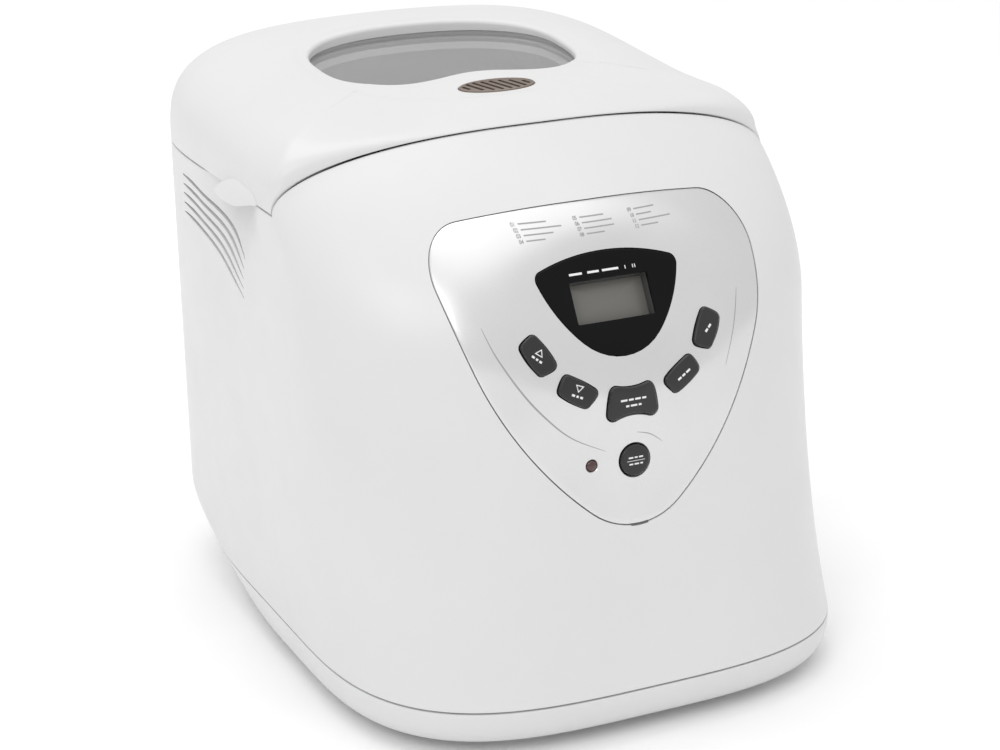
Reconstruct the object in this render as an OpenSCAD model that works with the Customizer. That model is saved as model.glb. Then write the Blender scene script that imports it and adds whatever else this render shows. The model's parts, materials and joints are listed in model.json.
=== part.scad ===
// Bread machine: a free-standing automatic bread maker with a hinged lid, a sloping
// control panel, a lift-out pan with a kneading paddle, and a belt drive under the oven.
// Origin at the middle of the foot print, on the ground. +Z is up, the panel faces -Y.
// Inside the modules Y is counted from the front seam backwards; framed() moves it.

/* [Cabinet] */
// Width across the cabinet sides
cabinet_w = 256; // [250:1:262]
// Depth of the cabinet skin from front seam to rear
cabinet_d = 345; // [340:1:350]
// Height of the feet under the base
foot_h = 6; // [5:0.5:7]
// Height of the seam between base tray and cabinet
base_seam_z = 23.5; // [22:0.5:25]
// Height of the side seam between cabinet and lid
lid_seam_z = 229; // [226:1:232]
// Wall thickness of the moulded shells
wall = 2.5; // [2:0.1:3]
// How far the front leans back before it turns straight
chin_lean = 30; // [26:1:34]
// Height over which the lean fades
chin_h = 72; // [60:1:84]
// Height where the brow above the panel starts to roll back
brow_z = 173; // [170:1:176]
// How far the brow rolls back at the top of the arch
brow_back = 85.5; // [80:0.5:90]
// Depth of the bow of the front in plan, at the base
bow_low = 126; // [120:1:130]
// Depth of the bow of the front in plan, at the lid seam
bow_high = 68; // [64:1:72]
// Depth of the rounded rear corners in plan
rear_round = 125; // [115:1:130]

/* [Lid] */
// Rise of the arched front seam above the side seam
arch_rise = 32; // [28:1:36]
// Height of the lid top at its middle
lid_top_z = 279; // [276:1:282]
// Slope of the lid top, rising to the rear
lid_slope = 0.09; // [0.06:0.01:0.1]
// Half width of the viewing window
window_half_w = 66; // [60:1:70]
// Depth of the window recess
window_recess = 5; // [4:0.5:6]
// How far the finger tabs curve down towards the rear
tab_drop = 3.6; // [3:0.2:5]
// How far the finger tabs stand out of the side
tab_out = 6.2; // [5:0.2:7]
// Height of the finger tabs
tab_h = 9.8; // [8:0.2:11]

/* [Control panel] */
// Depth of the dish in the panel
dish_depth = 11; // [6:0.5:13]
// Radius of the arc that the five keys follow
key_arc_r = 48.3; // [47:0.1:50]
// Travel of every key
key_travel = 1; // [0.6:0.1:1.2]
// Radius of the start key
start_key_r = 7.2; // [6.5:0.1:8]

/* [Oven and pan] */
// Width of the oven chamber inside
chamber_w = 196; // [194:1:198]
// Depth of the oven chamber inside
chamber_d = 150; // [148:1:152]
// Width of the bread pan outside its wall
pan_w = 172; // [168:1:174]
// Depth of the bread pan outside its wall
pan_d = 124; // [120:1:126]
// Height of the bread pan wall
pan_h = 108; // [100:1:110]
// Radius swept by the kneading paddle
paddle_r = 42; // [36:1:46]

/* [Drive] */
// Radius of the large pulley
big_pulley_r = 40; // [36:1:42]
// Radius of the motor pulley
small_pulley_r = 8; // [7:0.5:9]
// Radius of the drive shafts
shaft_r = 4; // [3.5:0.1:4.5]
// Radius of the motor body
motor_r = 34; // [30:1:35]

/* [Hidden] */

$fn = 48;
half_w = cabinet_w / 2;
hinge_y = cabinet_d + 5.2;      // hinge axis, just behind the rear skin
hinge_z = lid_seam_z;
knuckle_r = 4.5;
depth_all = hinge_y + knuckle_r;
seam_gap = 0.8;
base_inset = 5.5;               // how much the tray draws in at its foot
front_exp_low = 3.25;           // superellipse exponents of the plan
front_exp_high = 1.7;
rear_exp = 3.8;
tail_h = 39;
tail_round = 65;
arch_exp = 2.1;
dome_exp = 3.3;
dome_mid_y = 265;
arch_z = lid_seam_z + arch_rise;

// Numbers of points round a ring: front quarter, straight side, rear quarter
n_front = 18;
n_side = 14;
n_rear = 10;
n_ring = 2 * (n_front + n_side + n_rear);

// ---------- plan and profile of the cabinet ----------

function clamp01(v) = min(max(v, 0), 1);
function smooth(v) = let (c = clamp01(v)) c * c * (3 - 2 * c);

// 0 at the base seam, 1 at the lid seam
function rise_of(z) = clamp01((z - base_seam_z) / (lid_seam_z - base_seam_z));
function front_exp(z) = front_exp_low + (front_exp_high - front_exp_low) * rise_of(z);
function bow(z) = bow_low + (bow_high - bow_low) * rise_of(z);

// Setback of the front at x = 0
function front_y(z) =
    chin_lean * (1 - exp(-max(z - base_seam_z, 0) / chin_h))
    + brow_back * pow(max(z - brow_z, 0) / (arch_z - brow_z), 2);

// Setback of the bowed front at any x
function bow_y(x, z) = let (n = front_exp(z), u = min(abs(x) / half_w, 1))
    front_y(z) + bow(z) * (1 - pow(1 - pow(u, n), 1 / n));

// Seam between cabinet and lid: an arch over the front, level along the sides
function seam_at(x) = lid_seam_z
    + arch_rise * pow(1 - pow(min(abs(x) / half_w, 1), arch_exp), 1 / arch_exp);

// Finger scoop in each side, behind and below the lift tab
scoop_mid_y = 190;
scoop_half = 46;
scoop_depth = 8;
scoop_z = 182;
function scoop_at(y, z) = abs(y - scoop_mid_y) >= scoop_half ? 0
    : scoop_depth * pow(cos(90 * (y - scoop_mid_y) / scoop_half), 2)
      * smooth((z - scoop_z) / (lid_seam_z - scoop_z));

// The rear corners are rounder at the foot: 1 at the feet, fading to 0
function tail(z) = 1 - smooth((z - foot_h) / tail_h);
function rear_r(z) = rear_round + tail_round * tail(z);
function rear_n(z) = rear_exp - 1.6 * tail(z);

// Point number i of the right half ring, at height z, drawn in by inset
function half_point(i, z, inset) =
    let (w = half_w - inset, n = front_exp(z), c = bow(z), m = rear_n(z),
         y_shoulder = front_y(z) + c, y_rear = cabinet_d - rear_r(z))
    i <= n_front
    ? let (t = 90 * i / n_front)
      [w * pow(sin(t), 2 / n), front_y(z) + inset + (c - inset) * (1 - pow(cos(t), 2 / n))]
    : i < n_front + n_side
    ? [w, y_shoulder + (y_rear - y_shoulder) * (i - n_front) / n_side]
    : let (t = 90 * (i - n_front - n_side) / n_rear)
      [w * pow(cos(t), 2 / m), y_rear + (rear_r(z) - inset) * pow(sin(t), 2 / m)];

n_half = n_front + n_side + n_rear;
function ring_point(i, z, inset) = i <= n_half
    ? half_point(i, z, inset)
    : let (p = half_point(n_ring - i, z, inset)) [-p.x, p.y];

// Height of the seam for ring point i: only the front quarters follow the arch
function ring_seam(i) = let (k = i <= n_half ? i : n_ring - i)
    k <= n_front ? seam_at(half_w * pow(sin(90 * k / n_front), 2 / front_exp_high)) : lid_seam_z;

function side_sign(x) = x > half_w / 2 ? 1 : (x < -half_w / 2 ? -1 : 0);

// Cabinet skin: level 0 at the base seam, 1 at the lid seam, minus drop below the seam
function body_point(i, level, inset, drop) =
    let (top = ring_seam(i) - drop,
         z = base_seam_z + seam_gap / 2 + (top - base_seam_z) * level,
         p = ring_point(i, z, inset))
    [p.x - side_sign(p.x) * scoop_at(p.y, z), p.y, z];

// Window outline in plan: rounder at the rear, drawn in round the steam vent at the front
window_mid_y = 234;
window_rear = 44;
window_front = 54;
window_indent = 10;
function window_point(angle, grow) =
    let (back = cos(angle) < 0, n = back ? 2.2 : 3,
         b = (back ? window_rear : window_front) + grow, a = window_half_w + grow,
         r = 1 / pow(pow(abs(sin(angle)) / a, n) + pow(abs(cos(angle)) / b, n), 1 / n),
         x = r * sin(angle))
    [x, window_mid_y - r * cos(angle) + (back ? 0 : window_indent * exp(-pow(x / 26, 2)))];

function lid_top(y) = lid_top_z + lid_slope * (y - dome_mid_y);
function window_plane(y) = lid_top(y) - 1.5 - window_recess;

// A softer line than the seam, which the lid's skin blends into away from its edge
function seam_blend(q) = let (v = min(abs(q.x) / half_w, 1) + max(q.y - 131, 0) / half_w)
    lid_seam_z + arch_rise * (1 - smooth((v - 0.2) / 1.3));
// How steeply the cabinet's front leans back just below the seam
function seam_lean(z) = chin_lean / chin_h * exp(-(z - base_seam_z) / chin_h)
    + 2 * brow_back * max(z - brow_z, 0) / pow(arch_z - brow_z, 2);

// Lid skin: s runs from 0 at the seam to 1 at the window edge. Over the front it starts
// in line with the cabinet, over the sides it starts upright.
function lid_point(i, s, inset) =
    let (q = ring_point(i, ring_seam(i), inset),
         zq = ring_seam(i) + seam_gap / 2,
         w = window_point(atan2(q.x, window_mid_y - q.y), inset),
         x = q.x + (w.x - q.x) * s,
         y = q.y + (w.y - q.y) * s,
         far = norm([q.x, q.y - dome_mid_y]),
         reach = clamp01(norm([x - q.x, y - q.y]) / far),
         u = min(abs(q.x) / half_w, 1),
         side = q.y > 132 ? 1 : smooth(1.25 * u),
         flare = bow_y(abs(q.x) + 0.5, ring_seam(i)) - bow_y(abs(q.x) - 0.5, ring_seam(i)),
         m = min(max(norm([1, flare]) / seam_lean(zq) * far / max(lid_top(q.y) - zq, 1), 3), 30),
         f = side * pow(1 - pow(1 - reach, dome_exp), 1 / dome_exp)
             + (1 - side) * (1 - pow(1 - reach, m)),
         foot = zq + (seam_blend(q) - zq) * smooth(8 * reach),
         z = foot + (lid_top(y) - inset - foot) * f)
    [x, y, z];

// Point on a superellipse round the oven mouth, seen from its middle at an angle
oven_mid_y = 222;
mouth_exp = 8;
function mouth_point(angle, grow) =
    let (a = chamber_w / 2 + grow, b = chamber_d / 2 + grow,
         r = 1 / pow(pow(abs(sin(angle)) / a, mouth_exp) + pow(abs(cos(angle)) / b, mouth_exp),
                     1 / mouth_exp))
    [r * sin(angle), oven_mid_y - r * cos(angle)];
function mouth_ring(z, grow) = [for (i = [0:n_ring - 1])
    let (q = ring_point(i, lid_seam_z, 0), p = mouth_point(atan2(q.x, oven_mid_y - q.y), grow))
    [p.x, p.y, z]];

// ---------- solids from rings ----------

// Closed solid through a list of rings with equal point counts. With loop the last ring
// joins the first; without it both ends are closed by a fan.
module ring_solid(rings, loop = true) {
    n = len(rings[0]);
    m = len(rings);
    ends = loop ? [] : [[for (k = [0:2]) [for (p = rings[0]) p[k]] * [for (p = rings[0]) 1] / n],
                        [for (k = [0:2]) [for (p = rings[m - 1]) p[k]] * [for (p = rings[0]) 1] / n]];
    points = concat([for (r = rings) each r], ends);
    sides = [for (j = [0:(loop ? m - 1 : m - 2)], i = [0:n - 1])
        let (a = j * n + i, b = j * n + (i + 1) % n,
             c = ((j + 1) % m) * n + (i + 1) % n, d = ((j + 1) % m) * n + i)
        each [[a, c, b], [a, d, c]]];
    fans = loop ? [] : [for (i = [0:n - 1])
        each [[m * n, i, (i + 1) % n], [m * n + 1, (m - 1) * n + (i + 1) % n, (m - 1) * n + i]]];
    polyhedron(points = points, faces = concat(sides, fans), convexity = 6);
}

module framed() translate([0, -depth_all / 2, 0]) children();

// ---------- outlines joined from tangent arcs ----------

// Circles are [x, y, radius], in counter-clockwise order; bends[i] is the radius of the
// side from circle i to the next one, negative where the side is hollow.
function bend_centre(a, b, bend) =
    let (s = bend > 0 ? -1 : 1, ra = abs(bend) + s * a[2], rb = abs(bend) + s * b[2],
         d = [b.x - a.x, b.y - a.y], gap = norm(d), u = d / gap,
         t = (ra * ra - rb * rb + gap * gap) / (2 * gap), h = sqrt(ra * ra - t * t))
    [a.x, a.y] + u * t - s * h * [-u.y, u.x];
function heading(v) = atan2(v.y, v.x);
function turn(a, b) = (b - a) - 360 * floor((b - a) / 360);
function touch_angle(circle, centre, bend) =
    heading(bend > 0 ? [circle.x, circle.y] - centre : centre - [circle.x, circle.y]);
function arc_points(c, r, from, sweep, n) =
    [for (k = [0:n]) [c.x, c.y] + r * [cos(from + sweep * k / n), sin(from + sweep * k / n)]];
function blend_outline(circles, bends, n_corner = 6, n_bend = 8) =
    let (m = len(circles), mids = [for (i = [0:m - 1])
        bend_centre(circles[i], circles[(i + 1) % m], bends[i])])
    [for (i = [0:m - 1])
        let (c = circles[i], next = circles[(i + 1) % m], last = (i + m - 1) % m,
             a0 = touch_angle(c, mids[last], bends[last]), a1 = touch_angle(c, mids[i], bends[i]),
             b0 = heading([c.x, c.y] - mids[i]), b1 = heading([next.x, next.y] - mids[i]),
             sweep = bends[i] > 0 ? turn(b0, b1) : -turn(b1, b0),
             side = arc_points(mids[i], abs(bends[i]), b0, sweep, n_bend))
        each concat(arc_points(c, c[2], a0, turn(a0, a1), n_corner),
                    [for (k = [1:n_bend - 1]) side[k]])];

// ---------- control panel surface ----------

dish_mid_z = 196;
function dish(x, z) = dish_depth
    * pow(max(0, 1 - pow(x / 78, 2) - pow((z - dish_mid_z) / 41, 2)), 2);
function panel_y(x, z) = bow_y(x, z) + dish(x, z);
function panel_slope_x(x, z) = (panel_y(x + 0.5, z) - panel_y(x - 0.5, z));
function panel_slope_z(x, z) = (panel_y(x, z + 0.5) - panel_y(x, z - 0.5));
function panel_normal(x, z) = let (v = [panel_slope_x(x, z), -1, panel_slope_z(x, z)]) v / norm(v);

// Child's own +Z points out of the panel at (x, z), and its +Y points up
module on_panel(x, z) {
    n = panel_normal(x, z);
    translate([x, panel_y(x, z), z]) rotate([90 - asin(n.z), 0, atan2(n.x, -n.y)]) children();
}

panel_corner = [58, 209.3, 21.5];
panel_foot = [0, 130, 34];
function panel_outline(grow = 0) = blend_outline(
    [[-panel_corner[0], panel_corner[1], panel_corner[2] + grow],
     [panel_foot[0], panel_foot[1], panel_foot[2] + grow],
     [panel_corner[0], panel_corner[1], panel_corner[2] + grow]],
    [165 + grow, 165 + grow, 480 + grow], 7, 10);
function shield_outline(grow = 0) = blend_outline(
    [[-31.5, 206.5, 3.5 + grow], [0, 200, 27.5 + grow], [31.5, 206.5, 3.5 + grow]],
    [60 + grow, 60 + grow, 105 + grow], 5, 8);

// A patch of the panel surface within an outline, from front to back behind the surface
function on_surface(p, off) = [p.x, panel_y(p.x, p.y) + off, p.y];
function shrunk(outline, mid_z, s) = [for (p = outline) [p.x * s, mid_z + (p.y - mid_z) * s]];
module panel_patch(outline, mid_z, front, back) {
    levels = [0.1, 0.2, 0.3, 0.4, 0.5, 0.6, 0.7, 0.8, 0.9, 1];
    function ring(s, off) = [for (p = shrunk(outline, mid_z, s)) on_surface(p, off)];
    ring_solid(concat([for (s = levels) ring(s, front)],
                      [for (k = [len(levels) - 1:-1:0]) ring(levels[k], back)]), loop = false);
}
// A prism through the panel, with an outline given in x and z
module panel_cut(outline) translate([0, 120, 0]) rotate([90, 0, 0]) linear_extrude(150) polygon(outline);

// ---------- keys ----------

key_arc_z = 200.9;
key_angles = [-61.4, -33.2, 33.2, 61.4];   // from straight down, along the key arc
key_in = 43.6;
key_out = 53.4;
key_half_angle = 10.2;
key_corner = 2.6;
function arc_spot(a, r) = [r * sin(a), key_arc_z - r * cos(a)];
// Outline of an arc key about its own middle, in the panel's own axes
function arc_key(a, grow) = let (mid = arc_spot(a, key_arc_r),
        spots = [for (k = [[key_out, -1], [key_out, 1], [key_in, 1], [key_in, -1]])
            arc_spot(a + k[1] * (key_half_angle - (k[0] == key_in ? 2 : 3.4)),
                     k[0] + (k[0] == key_in ? key_corner : -key_corner)) - mid])
    blend_outline([for (s = spots) [s.x, s.y, key_corner + grow]],
                  [40 + grow, 26 + grow, 60 + grow, 26 + grow], 5, 5);
function bow_tie_key(grow) = blend_outline(
    [[-9.6, -4.6, 3 + grow], [9.6, -4.6, 3 + grow], [8, 4.8, 3 + grow], [-8, 4.8, 3 + grow]],
    [-22 + grow, 60 + grow, -26 + grow, 60 + grow], 5, 6);
size_key_spot = [0, 152.8];
start_key_spot = [0, 125.6];
led_spot = [-21.1, 126.1];
led_r = 2.6;
key_proud = 1.2;
key_gap = 0.35;
panel_t = 2.5;
function key_spot(k) = k < 4 ? arc_spot(key_angles[k], key_arc_r)
    : (k == 4 ? size_key_spot : start_key_spot);
function key_shape(k, grow) = k < 4 ? arc_key(key_angles[k], grow) : bow_tie_key(grow);
module key_profile(k, grow) {
    if (k < 5) polygon(key_shape(k, grow));
    else circle(r = start_key_r + grow);
}

// Board plane behind the panel
board_tilt = 15;
board_mid = [0, 51, 164];
board_t = 1.6;
switch_h = 2.2;
board_normal = [0, -cos(board_tilt), sin(board_tilt)];
function board_gap(k) = let (s = key_spot(k), p = [s.x, panel_y(s.x, s.y), s.y], n = panel_normal(s.x, s.y))
    ((p - board_mid) * board_normal) / (n * board_normal);
module on_board() translate(board_mid) rotate([90 - board_tilt, 0, 0]) children();
stem_r = 2;

module key(k) {
    s = key_spot(k);
    stem = board_gap(k) - switch_h - key_travel - 0.5;
    color("dimgray") framed() on_panel(s.x, s.y) {
        translate([0, 0, -6]) linear_extrude(6 + key_proud) key_profile(k, 0);
        translate([0, 0, -6.5]) linear_extrude(1.5) key_profile(k, 1.2);
        translate([0, 0, -stem]) cylinder(r = stem_r, h = stem - 5);
    }
}
module key_time_up() key(0);
module key_time_down() key(1);
module key_loaf_size() key(4);
module key_menu() key(2);
module key_crust() key(3);
module key_start_stop() key(5);

// ---------- cabinet ----------

foot_spots = [[-92, 62], [92, 62], [-86, 270], [86, 270]];
foot_r = 10;
foot_recess = 0.5;
module each_foot() for (p = foot_spots) translate([p.x, p.y, 0]) children();
module rubber_feet() color("black") framed() each_foot() {
    cylinder(r = foot_r - 1, h = 1.5);
    translate([0, 0, 1.5]) cylinder(r = foot_r, h = foot_h - 1.5 + foot_recess);
}

floor_t = 2.5;
post_r = 6;
post_spots = [[-92, 88], [92, 88], [-90, 240], [90, 240]];
chassis_z = 38;
screw_r = 1.6;
screw_gap = 0.05;
// How much the tray draws in at its foot: more at the front
function tray_inset(i) = let (k = min(i, n_ring - i))
    base_inset + 3 * (1 - smooth(k / n_front));
module base_tray() color("white") framed() difference() {
    union() {
        ring_solid([for (l = [[foot_h, 1, wall + 2], [foot_h, 1, 0], [9.5, 0.5, 0], [14, 0.22, 0],
                              [18.5, 0.05, 0], [base_seam_z - seam_gap / 2, 0, 0],
                              [base_seam_z - seam_gap / 2, 0, wall + 0.8], [base_seam_z + 6, 0, wall + 0.8],
                              [base_seam_z + 6, 0, wall + 2.2], [14, 0.22, wall], [foot_h + floor_t, 1, wall]])
            [for (i = [0:n_ring - 1]) let (p = ring_point(i, l[0], l[1] * tray_inset(i) + l[2]))
                [p.x, p.y, l[0]]]], loop = false);
        for (p = post_spots) translate([p.x, p.y, foot_h + 1]) cylinder(r = post_r, h = chassis_z - foot_h - 1);
    }
    each_foot() cylinder(r = foot_r + 0.2, h = foot_h + foot_recess);
    for (p = post_spots) translate([p.x, p.y, -1]) {
        cylinder(r = screw_r + screw_gap, h = chassis_z + 2);
        cylinder(r = 3.6, h = 16);
    }
    for (k = [-4:4]) translate([k * 12 - 2, 120, 0]) cube([4, 46, foot_h + floor_t + 2]);
}
module base_screws() color("silver") framed() for (p = post_spots) translate([p.x, p.y, 0]) {
    translate([0, 0, 12.5]) cylinder(r = 3.2, h = 2.5);
    translate([0, 0, 15]) cylinder(r = screw_r, h = chassis_z + 5 - 15);
}

louvre_count = 5;
louvre_top = 217.5;
louvre_pitch = 4.8;
louvre_h = 2;
louvre_span = [176, 264];
function louvre_z(k, y) = louvre_top - louvre_pitch * k - 23.5 * pow((louvre_span[1] - y) / 92, 2);
module louvre_cut(k) translate([-half_w - 8, 0, 0]) rotate([90, 0, 90])
    linear_extrude(2 * half_w + 16) polygon(concat(
        [for (j = [0:8]) let (y = louvre_span[0] + (louvre_span[1] - louvre_span[0]) * j / 8)
            [y, louvre_z(k, y)]],
        [for (j = [8:-1:0]) let (y = louvre_span[0] + (louvre_span[1] - louvre_span[0]) * j / 8)
            [y, louvre_z(k, y) + louvre_h]]));

// Baffle behind the louvres of each side, 1.8 mm off the wall
function side_x(y, z, inset) = (half_w - inset)
    * (y > cabinet_d - rear_round
       ? pow(1 - pow((y - cabinet_d + rear_round) / (rear_round - inset), rear_exp), 1 / rear_exp) : 1)
    - scoop_at(y, z);
function baffle_ring(y) =
    let (low = louvre_z(louvre_count - 1, y) - 3, high = louvre_z(0, y) + louvre_h + 3)
    concat([for (k = [0:5]) let (z = high - (high - low) * k / 5) [side_x(y, z, wall + 1.8), y, z]],
           [for (k = [5:-1:0]) let (z = high - (high - low) * k / 5) [side_x(y, z, wall + 2.8), y, z]]);
module louvre_baffles() color("white") framed() {
    rings = [for (k = [0:14]) baffle_ring(170 + 7 * k)];
    ring_solid(rings, loop = false);
    mirror([1, 0, 0]) ring_solid(rings, loop = false);
}

body_levels = [0, 0.035, 0.07, 0.11, 0.2, 0.35, 0.5, 0.62, 0.7, 0.76, 0.81, 0.86, 0.9, 0.94, 0.97, 1];
function body_ring(level, inset, drop) = [for (i = [0:n_ring - 1]) body_point(i, level, inset, drop)];

// Hinge: on each side a lid knuckle turns between two cabinet lugs
hinge_x = 62;
lug_w = 6;
lug_x = [hinge_x - 10, hinge_x + 4];
knuckle_gap = 0.4;
pin_r = 1.6;
pin_gap = 0.05;
gland_x = -60;
gland_z = 44;
gland_r = 6;
module along_hinge(x, w) translate([x, hinge_y, hinge_z]) rotate([0, 90, 0]) cylinder(r = knuckle_r, h = w);
module hinge_bore() for (s = [-1, 1]) translate([s * hinge_x - 12, hinge_y, hinge_z])
    rotate([0, 90, 0]) cylinder(r = pin_r + pin_gap, h = 24);
module body_shell() color("white") framed() difference() {
    union() {
        ring_solid(concat([for (l = body_levels) body_ring(l, 0, seam_gap / 2)],
                          [for (k = [len(body_levels) - 1:-1:0])
                              body_ring(body_levels[k], wall, seam_gap / 2)]));
        for (s = [-1, 1], x = lug_x) let (x0 = s > 0 ? x : -x - lug_w) {
            along_hinge(x0, lug_w);
            let (y0 = x == lug_x[0] ? cabinet_d - 3 : cabinet_d - 4.8)
                translate([x0, y0, hinge_z - 20]) cube([lug_w, hinge_y - y0, 18]);
            translate([x0, hinge_y - knuckle_r, hinge_z - 10]) cube([lug_w, 2 * knuckle_r, 10]);
        }
    }
    panel_cut(panel_outline(key_gap));
    for (k = [0:louvre_count - 1]) louvre_cut(k);
    hinge_bore();
    translate([gland_x, cabinet_d + 5, gland_z]) rotate([90, 0, 0]) cylinder(r = gland_r + 0.1, h = 20);
}
module hinge_pins() color("silver") framed() for (s = [-1, 1])
    translate([s * hinge_x - 10, hinge_y, hinge_z]) rotate([0, 90, 0]) cylinder(r = pin_r, h = 20);
module cord_gland() color("gray") framed() translate([gland_x, cabinet_d, gland_z]) rotate([90, 0, 0])
    difference() {
        union() {
            translate([0, 0, -1.8]) cylinder(r = gland_r + 2.5, h = 1.8);
            cylinder(r = gland_r, h = 12);
        }
        translate([0, 0, -3]) cylinder(r = 3.7, h = 20);
    }

deck_z = 223;
deck_t = 2.5;
deck_lip = 8;
module top_deck() color("white") framed() {
    outer = body_ring(1, wall + 0.8, 2.5);
    outer_low = [for (p = outer) [p.x, p.y, p.z - deck_t]];
    ring_solid([outer_low, outer, mouth_ring(deck_z, 3.5), mouth_ring(deck_z - 1.5, 1),
                mouth_ring(deck_z - deck_lip, 1), mouth_ring(deck_z - deck_lip, 3),
                mouth_ring(deck_z - deck_t, 5.5)]);
}

// ---------- control panel ----------

display_w = 39;
display_h = 19.4;
display_mid_z = 195.4;
module control_panel() color("silver") framed() difference() {
    panel_patch(panel_outline(), 172, 0, panel_t);
    panel_cut(shield_outline(0.3));
    for (k = [0:5]) let (s = key_spot(k)) on_panel(s.x, s.y)
        translate([0, 0, -8]) linear_extrude(16) key_profile(k, key_gap);
    on_panel(led_spot.x, led_spot.y) translate([0, 0, -8]) cylinder(r = led_r + 0.1, h = 16);
}
frame_gap = 1.3;
frame_t = 2.5;
module panel_frame() color("gainsboro") framed() difference() {
    ring_solid([for (r = [[6, 0], [0, 0], [-9, 0], [-9, frame_t], [0, frame_t], [6, frame_t]])
        [for (p = panel_outline(r[0]))
            on_surface(p, (wall + frame_gap) / -panel_normal(p.x, p.y).y + r[1])]]);
    for (s = frame_screws) on_panel(s.x, s.y) translate([0, 0, -12]) cylinder(r = screw_r + screw_gap, h = 20);
}
frame_screws = [[-70, 214], [70, 214], [-46, 134.5], [46, 134.5], [0, 101.5], [0, 230.5]];
module panel_screws() color("silver") framed() for (s = frame_screws) on_panel(s.x, s.y) {
    translate([0, 0, -8.4]) cylinder(r = 3, h = 2);
    translate([0, 0, -7]) cylinder(r = screw_r, h = 4.2);
}
module display_shield() color("black") framed() difference() {
    panel_patch(shield_outline(), 196, -0.2, 1.8);
    panel_cut([for (c = [[-1, -1], [1, -1], [1, 1], [-1, 1]])
        [c.x * display_w / 2, display_mid_z + c.y * display_h / 2]]);
}
module lcd_module() color("darkgray") framed() on_panel(0, display_mid_z)
    translate([-23, -13, -8]) {
        cube([46, 26, 4]);
        translate([2, 2, 4]) cube([42, 22, 0.8]);
    }
module status_led() color("darkred") framed() on_panel(led_spot.x, led_spot.y) {
    translate([0, 0, -14]) cylinder(r = led_r, h = 14);
    intersection() {
        sphere(r = led_r);
        cylinder(r = led_r, h = led_r);
    }
}
module control_board() color("darkgreen") framed() on_board() difference() {
    translate([-50, -48, -board_t]) cube([100, 94, board_t]);
    for (x = [-46, 46], y = [-44, 42]) translate([x, y, -3]) cylinder(r = 1.7, h = 5);
}
module key_switches() color("dimgray") framed() for (k = [0:5]) let (s = key_spot(k),
        n = panel_normal(s.x, s.y), p = [s.x, panel_y(s.x, s.y), s.y] - board_gap(k) * n)
    translate(p) rotate([90 - board_tilt, 0, 0]) {
        translate([-3, -3, 0]) cube([6, 6, switch_h - 0.8]);
        cylinder(r = 1.6, h = switch_h);
    }

// ---------- oven ----------

oven_floor_z = 50;
oven_top_z = deck_z - deck_lip - 0.5;
sheet = 1;
oven_corner = 20;
module rounded(w, d, r) {
    for (a = [0, 90]) square([w - (a == 0 ? 0 : 2 * r), d - (a == 0 ? 2 * r : 0)], center = true);
    for (x = [-1, 1], y = [-1, 1]) translate([x * (w / 2 - r), y * (d / 2 - r)]) circle(r = r);
}
bearing_r = 9.5;
leg_x = 16;
element_z = 61;
element_r = 3.2;
sensor_spot = [62, 120];
module oven_chamber() color("lightsteelblue") framed() difference() {
    translate([0, oven_mid_y, 0]) union() {
        translate([0, 0, oven_floor_z]) linear_extrude(oven_top_z - oven_floor_z)
            rounded(chamber_w + 2 * sheet, chamber_d + 2 * sheet, oven_corner + sheet);
        translate([0, 0, oven_top_z - sheet]) linear_extrude(sheet)
            rounded(chamber_w + 12, chamber_d + 12, oven_corner + 6);
    }
    translate([0, oven_mid_y, oven_floor_z + sheet]) linear_extrude(oven_top_z)
        rounded(chamber_w, chamber_d, oven_corner);
    translate([0, oven_mid_y, oven_floor_z - 1]) cylinder(r = bearing_r + 0.2, h = 4);
    for (x = [-leg_x, leg_x]) translate([x, oven_mid_y - chamber_d / 2 + 5, element_z])
        rotate([90, 0, 0]) cylinder(r = element_r + 0.4, h = 10);
    translate([sensor_spot.x, oven_mid_y - chamber_d / 2 + 5, sensor_spot.y])
        rotate([90, 0, 0]) cylinder(r = 4, h = 10);
}

seat_in_r = 35.5;
module pan_seat() color("silver") framed() translate([0, oven_mid_y, oven_floor_z + sheet]) {
    difference() {
        cylinder(r = seat_in_r + 9, h = 1.2);
        translate([0, 0, -1]) cylinder(r = 12, h = 4);
    }
    for (a = [0, 180]) rotate([0, 0, a]) difference() {
        translate([seat_in_r, -9, 0]) cube([1, 18, 9]);
        translate([seat_in_r - 1, -6, 3.5]) cube([3, 12, 3.5]);
    }
}

element_half = [chamber_w / 2 - 6.5, chamber_d / 2 - 6.7];
element_bend = 22;
module tube_y(x, y0, y1) translate([x, y1, element_z]) rotate([90, 0, 0]) cylinder(r = element_r, h = y1 - y0);
module tube_x(y, x0, x1) translate([x0, y, element_z]) rotate([0, 90, 0]) cylinder(r = element_r, h = x1 - x0);
module tube_bend(x, y, bend, from) translate([x, y, element_z]) rotate([0, 0, from])
    rotate_extrude(angle = 90) translate([bend, 0]) circle(r = element_r, $fn = 32);
module heating_element() color("dimgray") framed() translate([0, oven_mid_y, 0]) {
    a = element_half.x;
    b = element_half.y;
    c = element_bend;
    for (s = [-1, 1]) tube_y(s * a, -b + c, b - c);
    tube_x(b, -a + c, a - c);
    tube_x(-b, -a + c, -leg_x - 8);
    tube_x(-b, leg_x + 8, a - c);
    tube_bend(a - c, b - c, c, 0);
    tube_bend(-a + c, b - c, c, 90);
    tube_bend(-a + c, -b + c, c, 180);
    tube_bend(a - c, -b + c, c, 270);
    tube_bend(-leg_x - 8, -b - 8, 8, 0);
    tube_bend(leg_x + 8, -b - 8, 8, 90);
    for (s = [-1, 1]) tube_y(s * leg_x, -b - 26, -b - 8);
}
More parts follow.
